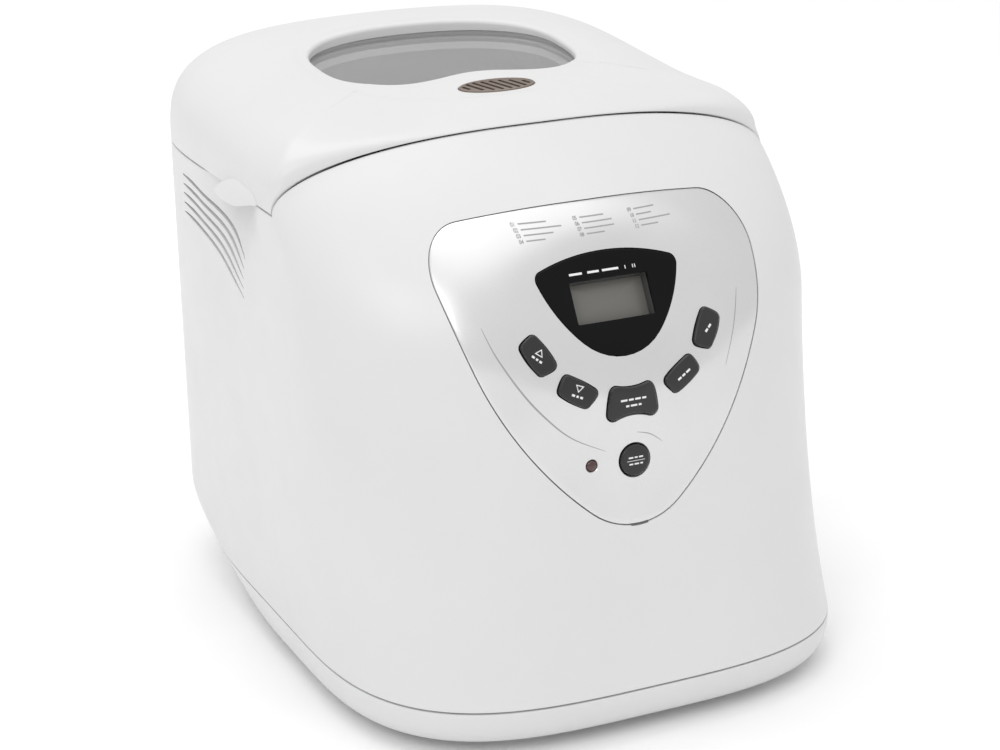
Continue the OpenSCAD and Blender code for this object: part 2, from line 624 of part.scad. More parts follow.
module element_clips() color("silver") framed() for (s = [-1, 1], t = [-1, 1])
    translate([s * element_half.x, oven_mid_y + t * 34, oven_floor_z + sheet]) difference() {
        translate([-4.8, -2, 0]) cube([9.6, 4, element_z - oven_floor_z - sheet]);
        translate([0, 5, element_z - oven_floor_z - sheet]) rotate([90, 0, 0])
            cylinder(r = element_r + 0.05, h = 10);
    }
sensor_travel = 2.5;
sensor_y = oven_mid_y - chamber_d / 2 - sheet;
module sensor_housing() color("gray") framed() translate([sensor_spot.x, sensor_y - 0.2, sensor_spot.y])
    rotate([90, 0, 0]) difference() {
        union() {
            cylinder(r = 8, h = 2);
            cylinder(r = 6, h = 11);
        }
        translate([0, 0, -1]) cylinder(r = 3.08, h = 9);
    }
module sensor_tip() color("silver") framed() translate([sensor_spot.x, 0, sensor_spot.y]) rotate([-90, 0, 0]) {
    translate([0, 0, sensor_y - 5]) cylinder(r = 3, h = 18);
    translate([0, 0, sensor_y + 10]) cylinder(r = 5, h = 3.6);
}
module thermal_fuse() color("khaki") framed()
    translate([-70, sensor_y - 3.2, 96]) {
        rotate([0, 90, 0]) cylinder(r = 2.6, h = 16);
        translate([3, 0.4, -7]) cube([10, 2.6, 14]);
    }
module heat_shield() color("lightgray") framed() difference() {
    union() {
        translate([-88, 126, chassis_z + 1.5]) cube([176, 1, 165]);
        translate([-88, 126, chassis_z + 1.5]) cube([176, 9, 1]);
    }
    for (x = [-leg_x, leg_x]) translate([x, 124, element_z]) rotate([-90, 0, 0]) cylinder(r = 6, h = 6);
    translate([sensor_spot.x, 124, sensor_spot.y]) rotate([-90, 0, 0]) cylinder(r = 8, h = 6);
}

// ---------- chassis and drive ----------

motor_spot = [38, 78];
chassis_t = 1.5;
module chassis_plate() color("silver") framed() difference() {
    translate([0, 177, chassis_z]) linear_extrude(chassis_t) rounded(206, 262, 14);
    for (p = post_spots) translate([p.x, p.y, chassis_z - 1]) cylinder(r = screw_r + screw_gap, h = 4);
    translate([0, oven_mid_y, chassis_z - 1]) cylinder(r = bearing_r + 0.1, h = 4);
    translate([motor_spot.x, motor_spot.y, chassis_z - 1]) cylinder(r = 12, h = 4);
}
bush_r = 7;
module bearing_housing() color("gray") framed() translate([0, oven_mid_y, 0]) difference() {
    union() {
        translate([0, 0, 34]) cylinder(r = bearing_r, h = 19);
        translate([0, 0, chassis_z + chassis_t]) cylinder(r = 20, h = 3);
        translate([0, 0, chassis_z + chassis_t]) cylinder(r = 13, h = oven_floor_z - chassis_z - chassis_t);
    }
    translate([0, 0, 30]) cylinder(r = bush_r, h = 30);
}
run_gap = 0.05;
module shaft_bushes() color("goldenrod") framed() translate([0, oven_mid_y, 0]) for (z = [34, 47])
    translate([0, 0, z]) difference() {
        cylinder(r = bush_r, h = 6);
        translate([0, 0, -1]) cylinder(r = shaft_r + run_gap, h = 8);
    }
shaft_top = 62;
module drive_shaft() color("silver") framed() translate([0, oven_mid_y, 12]) cylinder(r = shaft_r, h = shaft_top - 12);
belt_z = 21;
belt_w = 8;
belt_t = 1.6;
belt_gap = 0.3;
module pulley(r, grooves, groove_r) difference() {
    union() {
        translate([0, 0, belt_z - 0.5]) cylinder(r = r, h = belt_w + 1);
        for (z = [belt_z - 1.7, belt_z + belt_w + 0.5]) translate([0, 0, z])
            cylinder(r = r + belt_t + belt_gap + 0.6, h = 1.2);
    }
    for (k = [0:grooves - 1]) rotate([0, 0, 360 * k / grooves]) translate([r, 0, belt_z])
        cylinder(r = groove_r, h = belt_w, $fn = 16);
}
module large_pulley() color("ivory") framed() translate([0, oven_mid_y, 0]) difference() {
    union() {
        difference() {
            pulley(big_pulley_r, 60, 0.9);
            for (k = [0:5]) rotate([0, 0, 60 * k]) translate([big_pulley_r * 0.55, 0, 0])
                cylinder(r = 8, h = 40);
        }
        translate([0, 0, belt_z - 4]) cylinder(r = 9, h = 15.5);
    }
    cylinder(r = shaft_r, h = 60);
}
dog_z = 54;
dog_r = 10.5;
dog_half = 28;
module dog_wings(z, h, from) translate([0, 0, z]) for (a = [0, 180]) rotate([0, 0, a + from - dog_half])
    rotate_extrude(angle = 2 * dog_half) translate([5, 0]) square([dog_r - 5, h]);
module lower_coupling() color("silver") framed() translate([0, oven_mid_y, 0]) difference() {
    union() {
        translate([0, 0, dog_z]) cylinder(r = dog_r + 0.5, h = 3);
        dog_wings(dog_z + 2.5, 6, 0);
    }
    translate([0, 0, dog_z - 1]) cylinder(r = shaft_r, h = 12);
}
belt_run = norm([motor_spot.x, oven_mid_y - motor_spot.y]);
belt_turn = atan2(oven_mid_y - motor_spot.y, -motor_spot.x);
wrap = acos((big_pulley_r - small_pulley_r) / belt_run);
// Outline round both pulleys, with the motor pulley at the origin and the large one on +X
function belt_outline(grow) = concat(
    arc_points([0, 0], small_pulley_r + grow, 180 - wrap, 2 * wrap, 16),
    arc_points([belt_run, 0], big_pulley_r + grow, 180 + wrap, 360 - 2 * wrap, 40));
module drive_belt() color("black") framed() translate([motor_spot.x, motor_spot.y, belt_z])
    rotate([0, 0, belt_turn]) linear_extrude(belt_w) difference() {
        polygon(belt_outline(belt_gap + belt_t));
        polygon(belt_outline(belt_gap));
    }
motor_z = chassis_z + chassis_t;
motor_h = 58;
motor_shaft_r = 3;
module at_motor() translate([motor_spot.x, motor_spot.y, 0]) children();
module motor_housing() color("dimgray") framed() at_motor() difference() {
    union() {
        translate([0, 0, motor_z]) cylinder(r = motor_r, h = motor_h);
        for (a = [45:90:315]) rotate([0, 0, a]) translate([motor_r - 3, -6, motor_z]) cube([12, 12, 3]);
    }
    translate([0, 0, motor_z + 4]) cylinder(r = motor_r - 3, h = motor_h - 8);
    translate([0, 0, motor_z - 1]) cylinder(r = motor_shaft_r + run_gap, h = motor_h + 2);
    for (a = [0:60:300]) rotate([0, 0, a]) translate([18, 0, motor_z - 1]) cylinder(r = 5, h = motor_h + 2);
}
module motor_shaft() color("silver") framed() at_motor() {
    translate([0, 0, 17]) cylinder(r = motor_shaft_r, h = motor_z + motor_h + 16 - 17);
    translate([0, 0, motor_z + 10]) cylinder(r = motor_r - 8, h = motor_h - 20);
}
module motor_pulley() color("silver") framed() at_motor() difference() {
    pulley(small_pulley_r, 12, 0.9);
    translate([0, 0, 10]) cylinder(r = motor_shaft_r, h = 30);
}
fan_z = motor_z + motor_h + 5;
module motor_fan() color("black") framed() at_motor() difference() {
    union() {
        translate([0, 0, fan_z]) cylinder(r = 8, h = 9);
        translate([0, 0, fan_z]) cylinder(r = 26, h = 1.5);
        for (a = [0:30:330]) rotate([0, 0, a]) translate([7, -0.6, fan_z + 1]) cube([19, 1.2, 8]);
    }
    translate([0, 0, fan_z - 1]) cylinder(r = motor_shaft_r, h = 12);
}
module motor_capacitor() color("whitesmoke") framed() translate([-86, 118, motor_z]) {
    translate([0, -46, 0.1]) cube([18, 38, 30]);
    translate([6, -44, 30.1]) cube([2, 6, 5]);
    translate([6, -20, 30.1]) cube([2, 6, 5]);
}
board_z = motor_z + 8;
module power_board() color("peru") framed() difference() {
    union() {
        translate([-62, 52, board_z]) cube([60, 66, 1.6]);
        for (x = [-58, -6], y = [56, 114]) translate([x, y, motor_z]) cylinder(r = 3, h = 8);
    }
    for (x = [-58, -6], y = [56, 114]) translate([x, y, motor_z - 1]) cylinder(r = 1.3, h = 12);
}
module transformer() color("orange") framed() translate([-56, 62, board_z + 1.6]) {
    cube([26, 22, 24]);
    translate([4, -4, 4]) cube([18, 30, 14]);
}
module power_relay() color("black") framed() translate([-24, 60, board_z + 1.6]) {
    cube([16, 20, 16]);
    translate([0, 24, 0]) cube([16, 20, 16]);
}

// ---------- lid ----------

vent_spot = [0, 163.3];
vent_half = [20, 9.8];
vent_tilt = 6.3;
vent_z = 269.4;
function ellipse(a, b, n = 40) = [for (k = [0:n - 1]) [a * cos(360 * k / n), b * sin(360 * k / n)]];
lid_levels = [0, 0.015, 0.04, 0.08, 0.14, 0.22, 0.34, 0.5, 0.68, 0.86, 0.97, 1];
function lid_ring(s, inset) = [for (i = [0:n_ring - 1]) lid_point(i, s, inset)];
function window_ring(grow, off) = [for (i = [0:n_ring - 1])
    let (q = ring_point(i, ring_seam(i), 0),
         p = window_point(atan2(q.x, window_mid_y - q.y), grow))
    [p.x, p.y, window_plane(p.y) + off]];
module at_vent() translate([vent_spot.x, vent_spot.y, vent_z]) rotate([vent_tilt, 0, 0]) children();
// Leaf-shaped finger tab on the lid's edge: section number s from its front end to its tip
tab_front_y = 150;
tab_len = 56;
tab_sections = 18;
function tab_section(s, side) =
    let (low = lid_seam_z + 0.25 - tab_drop * smooth(s / 0.35),
         high = low + tab_h * pow(sin(180 * pow(s, 0.85)), 0.8) + 0.3,
         out = tab_out * sqrt(sin(180 * pow(s, 1.2))) + 0.2,
         root = max(low + 0.5, min(lid_seam_z + 1.2, high - 0.1)), n = 7)
    [for (p = concat([for (k = [0:n]) [half_w - 0.6 + (out + 0.6) * pow(k / n, 0.85),
                                      high - (high - low) * pow(k / n, 1.5)]],
                     [[half_w - 1.2 + out * 0.75, low + 0.3], [half_w - 1.5, root]]))
        [side * p.x, tab_front_y + tab_len * s, p.y]];
module lift_tab(side) {
    rings = [for (k = [0:tab_sections]) tab_section(0.004 + 0.992 * k / tab_sections, 1)];
    if (side > 0) ring_solid(rings, loop = false);
    else ring_solid([for (k = [tab_sections:-1:0]) [for (p = rings[k]) [-p.x, p.y, p.z]]], loop = false);
}
boss_z = 259.6;
module lid_cover() color("white") framed() difference() {
    union() {
        ring_solid(concat([for (s = lid_levels) lid_ring(s, 0)],
                          [window_ring(0, 0.1), window_ring(wall, 0.1)],
                          [for (k = [len(lid_levels) - 2:-1:0]) lid_ring(lid_levels[k], wall)]));
        for (s = [-1, 1]) let (x0 = s * hinge_x - 4 + knuckle_gap) {
            along_hinge(x0, 8 - 2 * knuckle_gap);
            translate([x0, cabinet_d - 3.8, hinge_z + 2]) cube([8 - 2 * knuckle_gap, 8.8, 9]);
        }
        for (s = [-1, 1]) lift_tab(s);
        for (p = lid_screw_spots) translate([p.x, p.y, boss_z]) cylinder(r = 4, h = p[2] - boss_z);
    }
    at_vent() translate([0, 0, -12]) linear_extrude(24) polygon(ellipse(vent_half.x, vent_half.y));
    hinge_bore();
    for (p = lid_screw_spots) translate([p.x, p.y, boss_z - 1])
        cylinder(r = screw_r + screw_gap, h = p[2] - boss_z + 0.6);
}
module lid_liner() color("gainsboro") framed() {
    t = 1.2;
    outer = [for (i = [0:n_ring - 1]) let (p = ring_point(i, ring_seam(i), wall + 2.5))
        [p.x, p.y, ring_seam(i) + 1.2]];
    top = [outer, mouth_ring(257, 6), window_ring(1.5, -3.3)];
    low = [for (k = [2:-1:0]) [for (p = top[k]) [p.x, p.y, p.z - t]]];
    difference() {
        union() {
            ring_solid(concat(top, low));
            for (p = lid_screw_spots) translate([p.x, p.y, lid_screw_z + 2]) cylinder(r = 4.5, h = 4.5);
        }
        translate([vent_spot.x, vent_spot.y, 240]) cylinder(r = 7, h = 40);
        for (p = lid_screw_spots) translate([p.x, p.y, 240]) cylinder(r = screw_r + screw_gap, h = 40);
    }
}
glass_t = 3;
glass_grow = 4;
module window_plate(from, h, outer, inner) {
    n = 60;
    tilt = atan(lid_slope);
    translate([0, window_mid_y, window_plane(window_mid_y)]) rotate([tilt, 0, 0])
        translate([0, 0, from]) linear_extrude(h) difference() {
            polygon([for (k = [0:n - 1]) window_point(360 * k / n, outer) - [0, window_mid_y]]);
            if (inner > 0) polygon([for (k = [0:n - 1]) window_point(360 * k / n, inner) - [0, window_mid_y]]);
        }
}
module window_glass() color("lightgray", 0.5) framed() window_plate(-glass_t, glass_t, glass_grow, 0);
module window_gasket() color("gray") framed() window_plate(-glass_t, glass_t - 0.2, glass_grow + 3, glass_grow + 0.1);
vent_slots = 8;
module steam_vent() color("rosybrown") framed() at_vent() difference() {
    translate([0, 0, -4]) linear_extrude(4) polygon(ellipse(vent_half.x - 0.3, vent_half.y - 0.3));
    for (k = [0:vent_slots - 1]) let (x = (k - (vent_slots - 1) / 2) * 4.5, h = 14.5 - pow(abs(x) / 16, 3) * 10)
        translate([x, 0.4, -5]) rotate([0, 0, 24]) translate([-1, -h / 2, 0]) cube([2, h, 6]);
}
lid_screw_spots = [[-98, 168, 261.4], [98, 168, 261.4], [-98, 276, 271], [98, 276, 271]];
lid_screw_z = 251;
module lid_screws() color("silver") framed() for (p = lid_screw_spots) translate([p.x, p.y, lid_screw_z]) {
    cylinder(r = 3, h = 2);
    cylinder(r = screw_r, h = 9.8);
}

// ---------- pan and paddle ----------

pan_z = 70;
pan_wall = 1.5;
pan_corner = 22;
pan_top = pan_z + pan_h;
rim_w = 3;
handle_pivot_z = pan_top - 6;
handle_r = 1.6;
handle_reach = 70;
ear_x = pan_w / 2;
module bread_pan() color("darkslategray") framed() translate([0, oven_mid_y, 0]) difference() {
    union() {
        translate([0, 0, pan_z]) linear_extrude(pan_h) rounded(pan_w, pan_d, pan_corner);
        translate([0, 0, pan_top - 2]) linear_extrude(2)
            rounded(pan_w + 2 * rim_w, pan_d + 2 * rim_w, pan_corner + rim_w);
        for (s = [-1, 1]) translate([s * (ear_x + 1.4), 0, handle_pivot_z]) rotate([0, 90, 0])
            cylinder(r = 5, h = 3, center = true);
    }
    translate([0, 0, pan_z + 2]) linear_extrude(pan_h)
        rounded(pan_w - 2 * pan_wall, pan_d - 2 * pan_wall, pan_corner - pan_wall);
    for (s = [-1, 1]) translate([s * ear_x, 0, handle_pivot_z]) rotate([0, 90, 0])
        cylinder(r = handle_r + 0.08, h = 12, center = true);
    translate([0, 0, pan_z - 1]) cylinder(r = 9, h = 5);
}
module pan_base_ring() color("gray") framed() translate([0, oven_mid_y, 56]) difference() {
    union() {
        cylinder(r = 34, h = pan_z - 56);
        for (a = [0, 180]) rotate([0, 0, a]) translate([33, -5, 0.5]) cube([2.2, 10, 1.6]);
    }
    translate([0, 0, -1]) cylinder(r = 31.5, h = pan_z - 56 - 1.5);
    translate([0, 0, -1]) cylinder(r = 9, h = 20);
}
module pan_bearing() color("goldenrod") framed() translate([0, oven_mid_y, 0]) difference() {
    union() {
        translate([0, 0, 67.5]) cylinder(r = 9, h = 10);
        translate([0, 0, pan_z + 2]) cylinder(r = 12, h = 1.5);
    }
    translate([0, 0, 66]) cylinder(r = shaft_r + run_gap, h = 14);
}
module pan_handle() color("silver") framed() translate([0, oven_mid_y, handle_pivot_z]) {
    leg = ear_x + 6;
    bend = 10;
    for (s = [-1, 1]) {
        translate([s > 0 ? ear_x - 3 : -leg, 0, 0]) rotate([0, 90, 0]) cylinder(r = handle_r, h = leg - ear_x + 3);
        translate([s * leg, 0, 0]) sphere(r = handle_r);
        translate([s * leg, 0, 0]) rotate([90, 0, 0]) cylinder(r = handle_r, h = handle_reach - bend);
        translate([s * (leg - bend), -handle_reach + bend, 0]) rotate([0, 0, s > 0 ? 270 : 180])
            rotate_extrude(angle = 90) translate([bend, 0]) circle(r = handle_r, $fn = 24);
    }
    translate([-leg + bend, -handle_reach, 0]) rotate([0, 90, 0]) cylinder(r = handle_r, h = 2 * (leg - bend));
}
pan_shaft_top = 98;
flat_from = 79;
flat_at = 3;
module pan_shaft() color("silver") framed() translate([0, oven_mid_y, 63]) difference() {
    cylinder(r = shaft_r, h = pan_shaft_top - 63);
    translate([flat_at, -10, flat_from - 63]) cube([10, 20, 30]);
}
module upper_coupling() color("silver") framed() translate([0, oven_mid_y, 0]) difference() {
    union() {
        translate([0, 0, 63.2]) cylinder(r = dog_r + 0.5, h = 3.4);
        dog_wings(57.6, 6, 90);
    }
    translate([0, 0, 60]) cylinder(r = shaft_r, h = 10);
}
module kneading_paddle() color("slategray") framed() translate([0, oven_mid_y, 0]) difference() {
    union() {
        translate([0, 0, flat_from]) cylinder(r = 8, h = 21);
        translate([0, 2.5, flat_from]) rotate([90, 0, 0]) linear_extrude(5)
            polygon([[0, 0], [paddle_r, 0], [paddle_r, 9], [30, 18], [8, 21], [0, 21]]);
    }
    difference() {
        translate([0, 0, flat_from - 1]) cylinder(r = shaft_r + 0.1, h = 24);
        translate([flat_at + 0.1, -10, flat_from - 2]) cube([10, 20, 30]);
    }
}

base_tray();
rubber_feet();
body_shell();
louvre_baffles();
control_panel();
panel_frame();
display_shield();
lcd_module();
key_time_up();
key_time_down();
key_loaf_size();
key_menu();
key_crust();
key_start_stop();
status_led();
control_board();
key_switches();
panel_screws();
top_deck();
oven_chamber();
pan_seat();
heating_element();
element_clips();
sensor_housing();
sensor_tip();
thermal_fuse();
heat_shield();
chassis_plate();
base_screws();
bearing_housing();
shaft_bushes();
drive_shaft();
large_pulley();
lower_coupling();
drive_belt();
motor_housing();
motor_shaft();
motor_pulley();
motor_fan();
motor_capacitor();
power_board();
transformer();
power_relay();
cord_gland();
hinge_pins();
lid_cover();
lid_liner();
window_glass();
window_gasket();
steam_vent();
lid_screws();
bread_pan();
pan_base_ring();
pan_bearing();
pan_handle();
pan_shaft();
upper_coupling();
kneading_paddle();
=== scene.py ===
"""Bread machine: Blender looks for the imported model.

Shapes are worked out in millimetres in the design frame: x to the right, y backwards from
the front seam of the cabinet, z up from the ground. at() turns such a point into the
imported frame. The outline formulas are those of the CAD source, at a finer resolution.
"""
import json
from math import atan2, cos, exp, floor, hypot, pi, radians, sin, sqrt

import bmesh
import bpy
from mathutils import Matrix, Vector


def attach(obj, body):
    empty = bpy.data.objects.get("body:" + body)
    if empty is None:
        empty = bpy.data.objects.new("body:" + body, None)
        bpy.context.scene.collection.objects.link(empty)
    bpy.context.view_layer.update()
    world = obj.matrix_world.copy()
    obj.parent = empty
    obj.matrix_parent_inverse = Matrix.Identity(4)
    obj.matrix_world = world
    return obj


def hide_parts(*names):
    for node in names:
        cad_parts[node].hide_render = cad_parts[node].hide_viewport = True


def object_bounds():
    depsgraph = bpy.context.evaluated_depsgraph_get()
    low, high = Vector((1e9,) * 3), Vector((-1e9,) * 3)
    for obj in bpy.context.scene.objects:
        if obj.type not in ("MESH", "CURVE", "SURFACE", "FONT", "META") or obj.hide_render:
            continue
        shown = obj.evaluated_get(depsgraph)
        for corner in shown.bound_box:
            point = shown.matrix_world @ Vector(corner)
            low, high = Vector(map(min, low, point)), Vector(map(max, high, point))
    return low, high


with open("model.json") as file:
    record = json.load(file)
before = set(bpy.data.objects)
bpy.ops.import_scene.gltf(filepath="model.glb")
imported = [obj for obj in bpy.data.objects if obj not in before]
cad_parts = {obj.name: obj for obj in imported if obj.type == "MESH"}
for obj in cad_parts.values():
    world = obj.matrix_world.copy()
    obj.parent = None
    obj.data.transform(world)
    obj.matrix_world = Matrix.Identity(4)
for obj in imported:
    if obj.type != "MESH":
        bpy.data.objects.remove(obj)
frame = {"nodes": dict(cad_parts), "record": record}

MM = 0.001
cad_low, cad_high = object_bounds()


def at(x, y, z):
    """A design point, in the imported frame."""
    return Vector((x * MM, y * MM + cad_low[1], z * MM))


# ---------------------------------------------------------------- cabinet dimensions
HALF_W = 128.0
CABINET_D = 345.0
FOOT_Z = 6.0
BASE_SEAM = 23.5
SIDE_SEAM = 229.0
ARCH_RISE = 32.0
ARCH_TOP = SIDE_SEAM + ARCH_RISE
SEAM_GAP = 0.8
WALL = 2.5
CHIN_LEAN = 30.0
CHIN_H = 72.0
BROW_Z = 173.0
BROW_BACK = 85.5
BOW_LOW, BOW_HIGH = 126.0, 68.0
FRONT_EXP_LOW, FRONT_EXP_HIGH = 3.25, 1.7
ARCH_EXP = 2.1
REAR_ROUND = 125.0
REAR_EXP = 3.8
TAIL_H, TAIL_ROUND, TAIL_EXP = 39.0, 65.0, 1.6
BASE_INSET, FRONT_INSET = 5.5, 3
EDGE_R = 0.5

LID_TOP = 279.0
LID_SLOPE = 0.09
DOME_MID_Y = 265.0
DOME_EXP = 3.3
WINDOW_MID_Y = 234.0
WINDOW_HALF_W = 66.0
WINDOW_REAR = 44.0
WINDOW_FRONT = 54.0
WINDOW_INDENT, WINDOW_INDENT_W = 10.0, 26
WINDOW_REAR_EXP, WINDOW_FRONT_EXP = 2.2, 3
WINDOW_SET, WINDOW_RECESS = 1.5, 5.0
WINDOW_EDGE_R = 2.2
VENT_SPOT = (0.0, 163.3)
VENT_HALF = (20.0, 9.8)
VENT_TILT = 6.3
VENT_Z = 269.4

N_FRONT, N_SIDE, N_REAR = 72, 56, 36
N_HALF = N_FRONT + N_SIDE + N_REAR
N_RING = 2 * N_HALF


# ---------------------------------------------------------------- plan and profile
def clamp01(v):
    return min(max(v, 0.0), 1.0)


def smooth(v):
    c = clamp01(v)
    return c * c * (3 - 2 * c)


def rise_of(z):
    return clamp01((z - BASE_SEAM) / (SIDE_SEAM - BASE_SEAM))


def front_exp(z):
    return FRONT_EXP_LOW + (FRONT_EXP_HIGH - FRONT_EXP_LOW) * rise_of(z)


def bow(z):
    return BOW_LOW + (BOW_HIGH - BOW_LOW) * rise_of(z)


def front_y(z):
    """Setback of the front at x = 0."""
    lean = CHIN_LEAN * (1 - exp(-max(z - BASE_SEAM, 0) / CHIN_H))
    return lean + BROW_BACK * (max(z - BROW_Z, 0) / (ARCH_TOP - BROW_Z)) ** 2


def bow_y(x, z):
    """Setback of the bowed front at any x."""
    n = front_exp(z)
    u = min(abs(x) / HALF_W, 1)
    return front_y(z) + bow(z) * (1 - (1 - u ** n) ** (1 / n))


def polar(angle, n):
    """Radius factor of a unit superellipse at an angle."""
    return (abs(sin(angle)) ** n + abs(cos(angle)) ** n) ** (-1 / n)


def tail(z):
    """1 at the feet, fading to 0: the rear corners are rounder at the foot."""
    return 1 - smooth((z - FOOT_Z) / TAIL_H)


def half_point(i, z, inset):
    """Point i of the right half ring at height z, from the front to the rear."""
    w, n, c = HALF_W - inset, front_exp(z), bow(z)
    rear_r = REAR_ROUND + TAIL_ROUND * tail(z)
    shoulder, rear = front_y(z) + c, CABINET_D - rear_r
    if i <= N_FRONT:
        a = 0.5 * pi * i / N_FRONT
        r = polar(a, n)
        return w * r * sin(a), shoulder - (c - inset) * r * cos(a)
    if i < N_FRONT + N_SIDE:
        return w, shoulder + (rear - shoulder) * (i - N_FRONT) / N_SIDE
    a = 0.5 * pi * (i - N_FRONT - N_SIDE) / N_REAR
    r = polar(a, REAR_EXP - TAIL_EXP * tail(z))
    return w * r * cos(a), rear + (rear_r - inset) * r * sin(a)


def ring_point(i, z, inset):
    k = i % N_RING
    if k <= N_HALF:
        return half_point(k, z, inset)
    x, y = half_point(N_RING - k, z, inset)
    return -x, y


def ring_seam(i):
    """Height of the seam between cabinet and lid at ring point i."""
    k = min(i % N_RING, N_RING - i % N_RING)
    if k >= N_FRONT:
        return SIDE_SEAM
    a = 0.5 * pi * k / N_FRONT
    u = min(polar(a, FRONT_EXP_HIGH) * sin(a), 1)
    return SIDE_SEAM + ARCH_RISE * (1 - u ** ARCH_EXP) ** (1 / ARCH_EXP)


SCOOP_MID, SCOOP_HALF, SCOOP_DEPTH, SCOOP_Z = 190.0, 46.0, 8.0, 182.0


def side_sign(x):
    return 0 if abs(x) < HALF_W / 2 else (1 if x > 0 else -1)


def scoop(y, z):
    """How far the finger scoop is pressed into the side."""
    if abs(y - SCOOP_MID) >= SCOOP_HALF:
        return 0.0
    along = cos(0.5 * pi * (y - SCOOP_MID) / SCOOP_HALF) ** 2
    return SCOOP_DEPTH * along * smooth((z - SCOOP_Z) / (SIDE_SEAM - SCOOP_Z))


def body_ring(level, inset, dz):
    low = BASE_SEAM + SEAM_GAP / 2
    ring = []
    for i in range(N_RING):
        top = ring_seam(i) - SEAM_GAP / 2
        z = low + (top - low) * level + dz
        x, y = ring_point(i, z, inset)
        ring.append((x - side_sign(x) * scoop(y, z), y, z))
    return ring


# ---------------------------------------------------------------- mesh helpers
def placed(name, data):
    """A new object, put into the scene."""
    obj = bpy.data.objects.new(name, data)
    bpy.context.scene.collection.objects.link(obj)
    return obj


def new_object(name, verts, faces, material=None):
    mesh = bpy.data.meshes.new(name)
    mesh.from_pydata([at(*v) for v in verts], [], faces)
    mesh.validate()
    mesh.update()
    if material:
        mesh.materials.append(material)
    return placed(name, mesh)


def shade(obj, angle=35):
    """Smooth shading, with edges sharper than the angle kept."""
    mesh = obj.data
    for p in mesh.polygons:
        p.use_smooth = True
    mesh.set_sharp_from_angle(angle=radians(angle))


def outward(obj):
    bm = bmesh.new()
    bm.from_mesh(obj.data)
    bmesh.ops.recalc_face_normals(bm, faces=bm.faces)
    bm.to_mesh(obj.data)
    bm.free()


def loft(name, rings, material, closed=True, caps=False, angle=35):
    """A skin through rings of equal point counts; closed joins the last to the first."""
    n, m = len(rings[0]), len(rings)
    verts = [p for r in rings for p in r]
    faces = []
    for j in range(m if closed else m - 1):
        for i in range(n):
            a, b = j * n + i, j * n + (i + 1) % n
            c, d = ((j + 1) % m) * n + (i + 1) % n, ((j + 1) % m) * n + i
            faces.append((a, b, c, d))
    if caps:
        for j in (0, m - 1):
            mid = [sum(p[k] for p in rings[j]) / n for k in range(3)]
            verts.append(tuple(mid))
            hub = len(verts) - 1
            faces += [(j * n + i, j * n + (i + 1) % n, hub) for i in range(n)]
    obj = new_object(name, verts, faces, material)
    outward(obj)
    shade(obj, angle)
    return obj


def join(name, objs):
    """Several objects as one mesh; material slots are kept."""
    bm = bmesh.new()
    materials = []
    for o in objs:
        mesh = o.data
        for m in mesh.materials:
            if m not in materials:
                materials.append(m)
        slots = [materials.index(m) for m in mesh.materials] or [0]
        start = len(bm.faces)
        bm.from_mesh(mesh)
        bm.faces.ensure_lookup_table()
        for f in bm.faces[start:]:
            f.material_index = slots[min(f.material_index, len(slots) - 1)]
    mesh = bpy.data.meshes.new(name)
    bm.to_mesh(mesh)
    bm.free()
    for m in materials:
        mesh.materials.append(m)
    for o in objs:
        bpy.data.objects.remove(o)
    return placed(name, mesh)


def cut(obj, cutters, angle=35):
    """Takes the cutters out of obj, and removes them."""
    group = bpy.data.collections.new(obj.name + "_cutters")
    for c in cutters:
        group.objects.link(c)
    mod = obj.modifiers.new("cut", "BOOLEAN")
    mod.operation = "DIFFERENCE"
    mod.operand_type = "COLLECTION"
    mod.collection = group
    mod.solver = "MANIFOLD"
    graph = bpy.context.evaluated_depsgraph_get()
    mesh = bpy.data.meshes.new_from_object(obj.evaluated_get(graph))
    obj.modifiers.remove(mod)
    obj.data = mesh
    for c in cutters:
        bpy.data.objects.remove(c)
    bpy.data.collections.remove(group)
    shade(obj, angle)


# ---------------------------------------------------------------- outlines of tangent arcs
def arc(centre, r, start, sweep, n):
    return [(centre[0] + r * cos(start + sweep * k / n), centre[1] + r * sin(start + sweep * k / n))
            for k in range(n + 1)]


def turn(a, b):
    return (b - a) - 2 * pi * floor((b - a) / (2 * pi))


def bend_centre(a, b, bend):
    """Centre of the arc of radius bend that touches circles a and b (x, y, r)."""
    s = -1 if bend > 0 else 1
    ra, rb = abs(bend) + s * a[2], abs(bend) + s * b[2]
    gap = hypot(b[0] - a[0], b[1] - a[1])
    ux, uy = (b[0] - a[0]) / gap, (b[1] - a[1]) / gap
    t = (ra * ra - rb * rb + gap * gap) / (2 * gap)
    h = sqrt(ra * ra - t * t)
    return a[0] + ux * t + s * h * uy, a[1] + uy * t - s * h * ux


def blend_outline(circles, bends, n_corner=10, n_bend=24):
    """Circles joined by tangent arcs, counter-clockwise; a negative bend is hollow."""
    m = len(circles)
    mids = [bend_centre(circles[i], circles[(i + 1) % m], bends[i]) for i in range(m)]

    def touch(c, mid, bend):
        s = 1 if bend > 0 else -1
        return atan2(s * (c[1] - mid[1]), s * (c[0] - mid[0]))

    points = []
    for i in range(m):
        c, nxt, last = circles[i], circles[(i + 1) % m], (i - 1) % m
        a0, a1 = touch(c, mids[last], bends[last]), touch(c, mids[i], bends[i])
        b0 = atan2(c[1] - mids[i][1], c[0] - mids[i][0])
        b1 = atan2(nxt[1] - mids[i][1], nxt[0] - mids[i][0])
        sweep = turn(b0, b1) if bends[i] > 0 else -turn(b1, b0)
        points += arc(c, c[2], a0, turn(a0, a1), n_corner)
        points += arc(mids[i], abs(bends[i]), b0, sweep, n_bend)[1:-1]
    return points


# ---------------------------------------------------------------- control panel surface
DISH_DEPTH, DISH_MID_Z, DISH_HALF_W, DISH_HALF_H = 11.0, 196.0, 78.0, 41.0


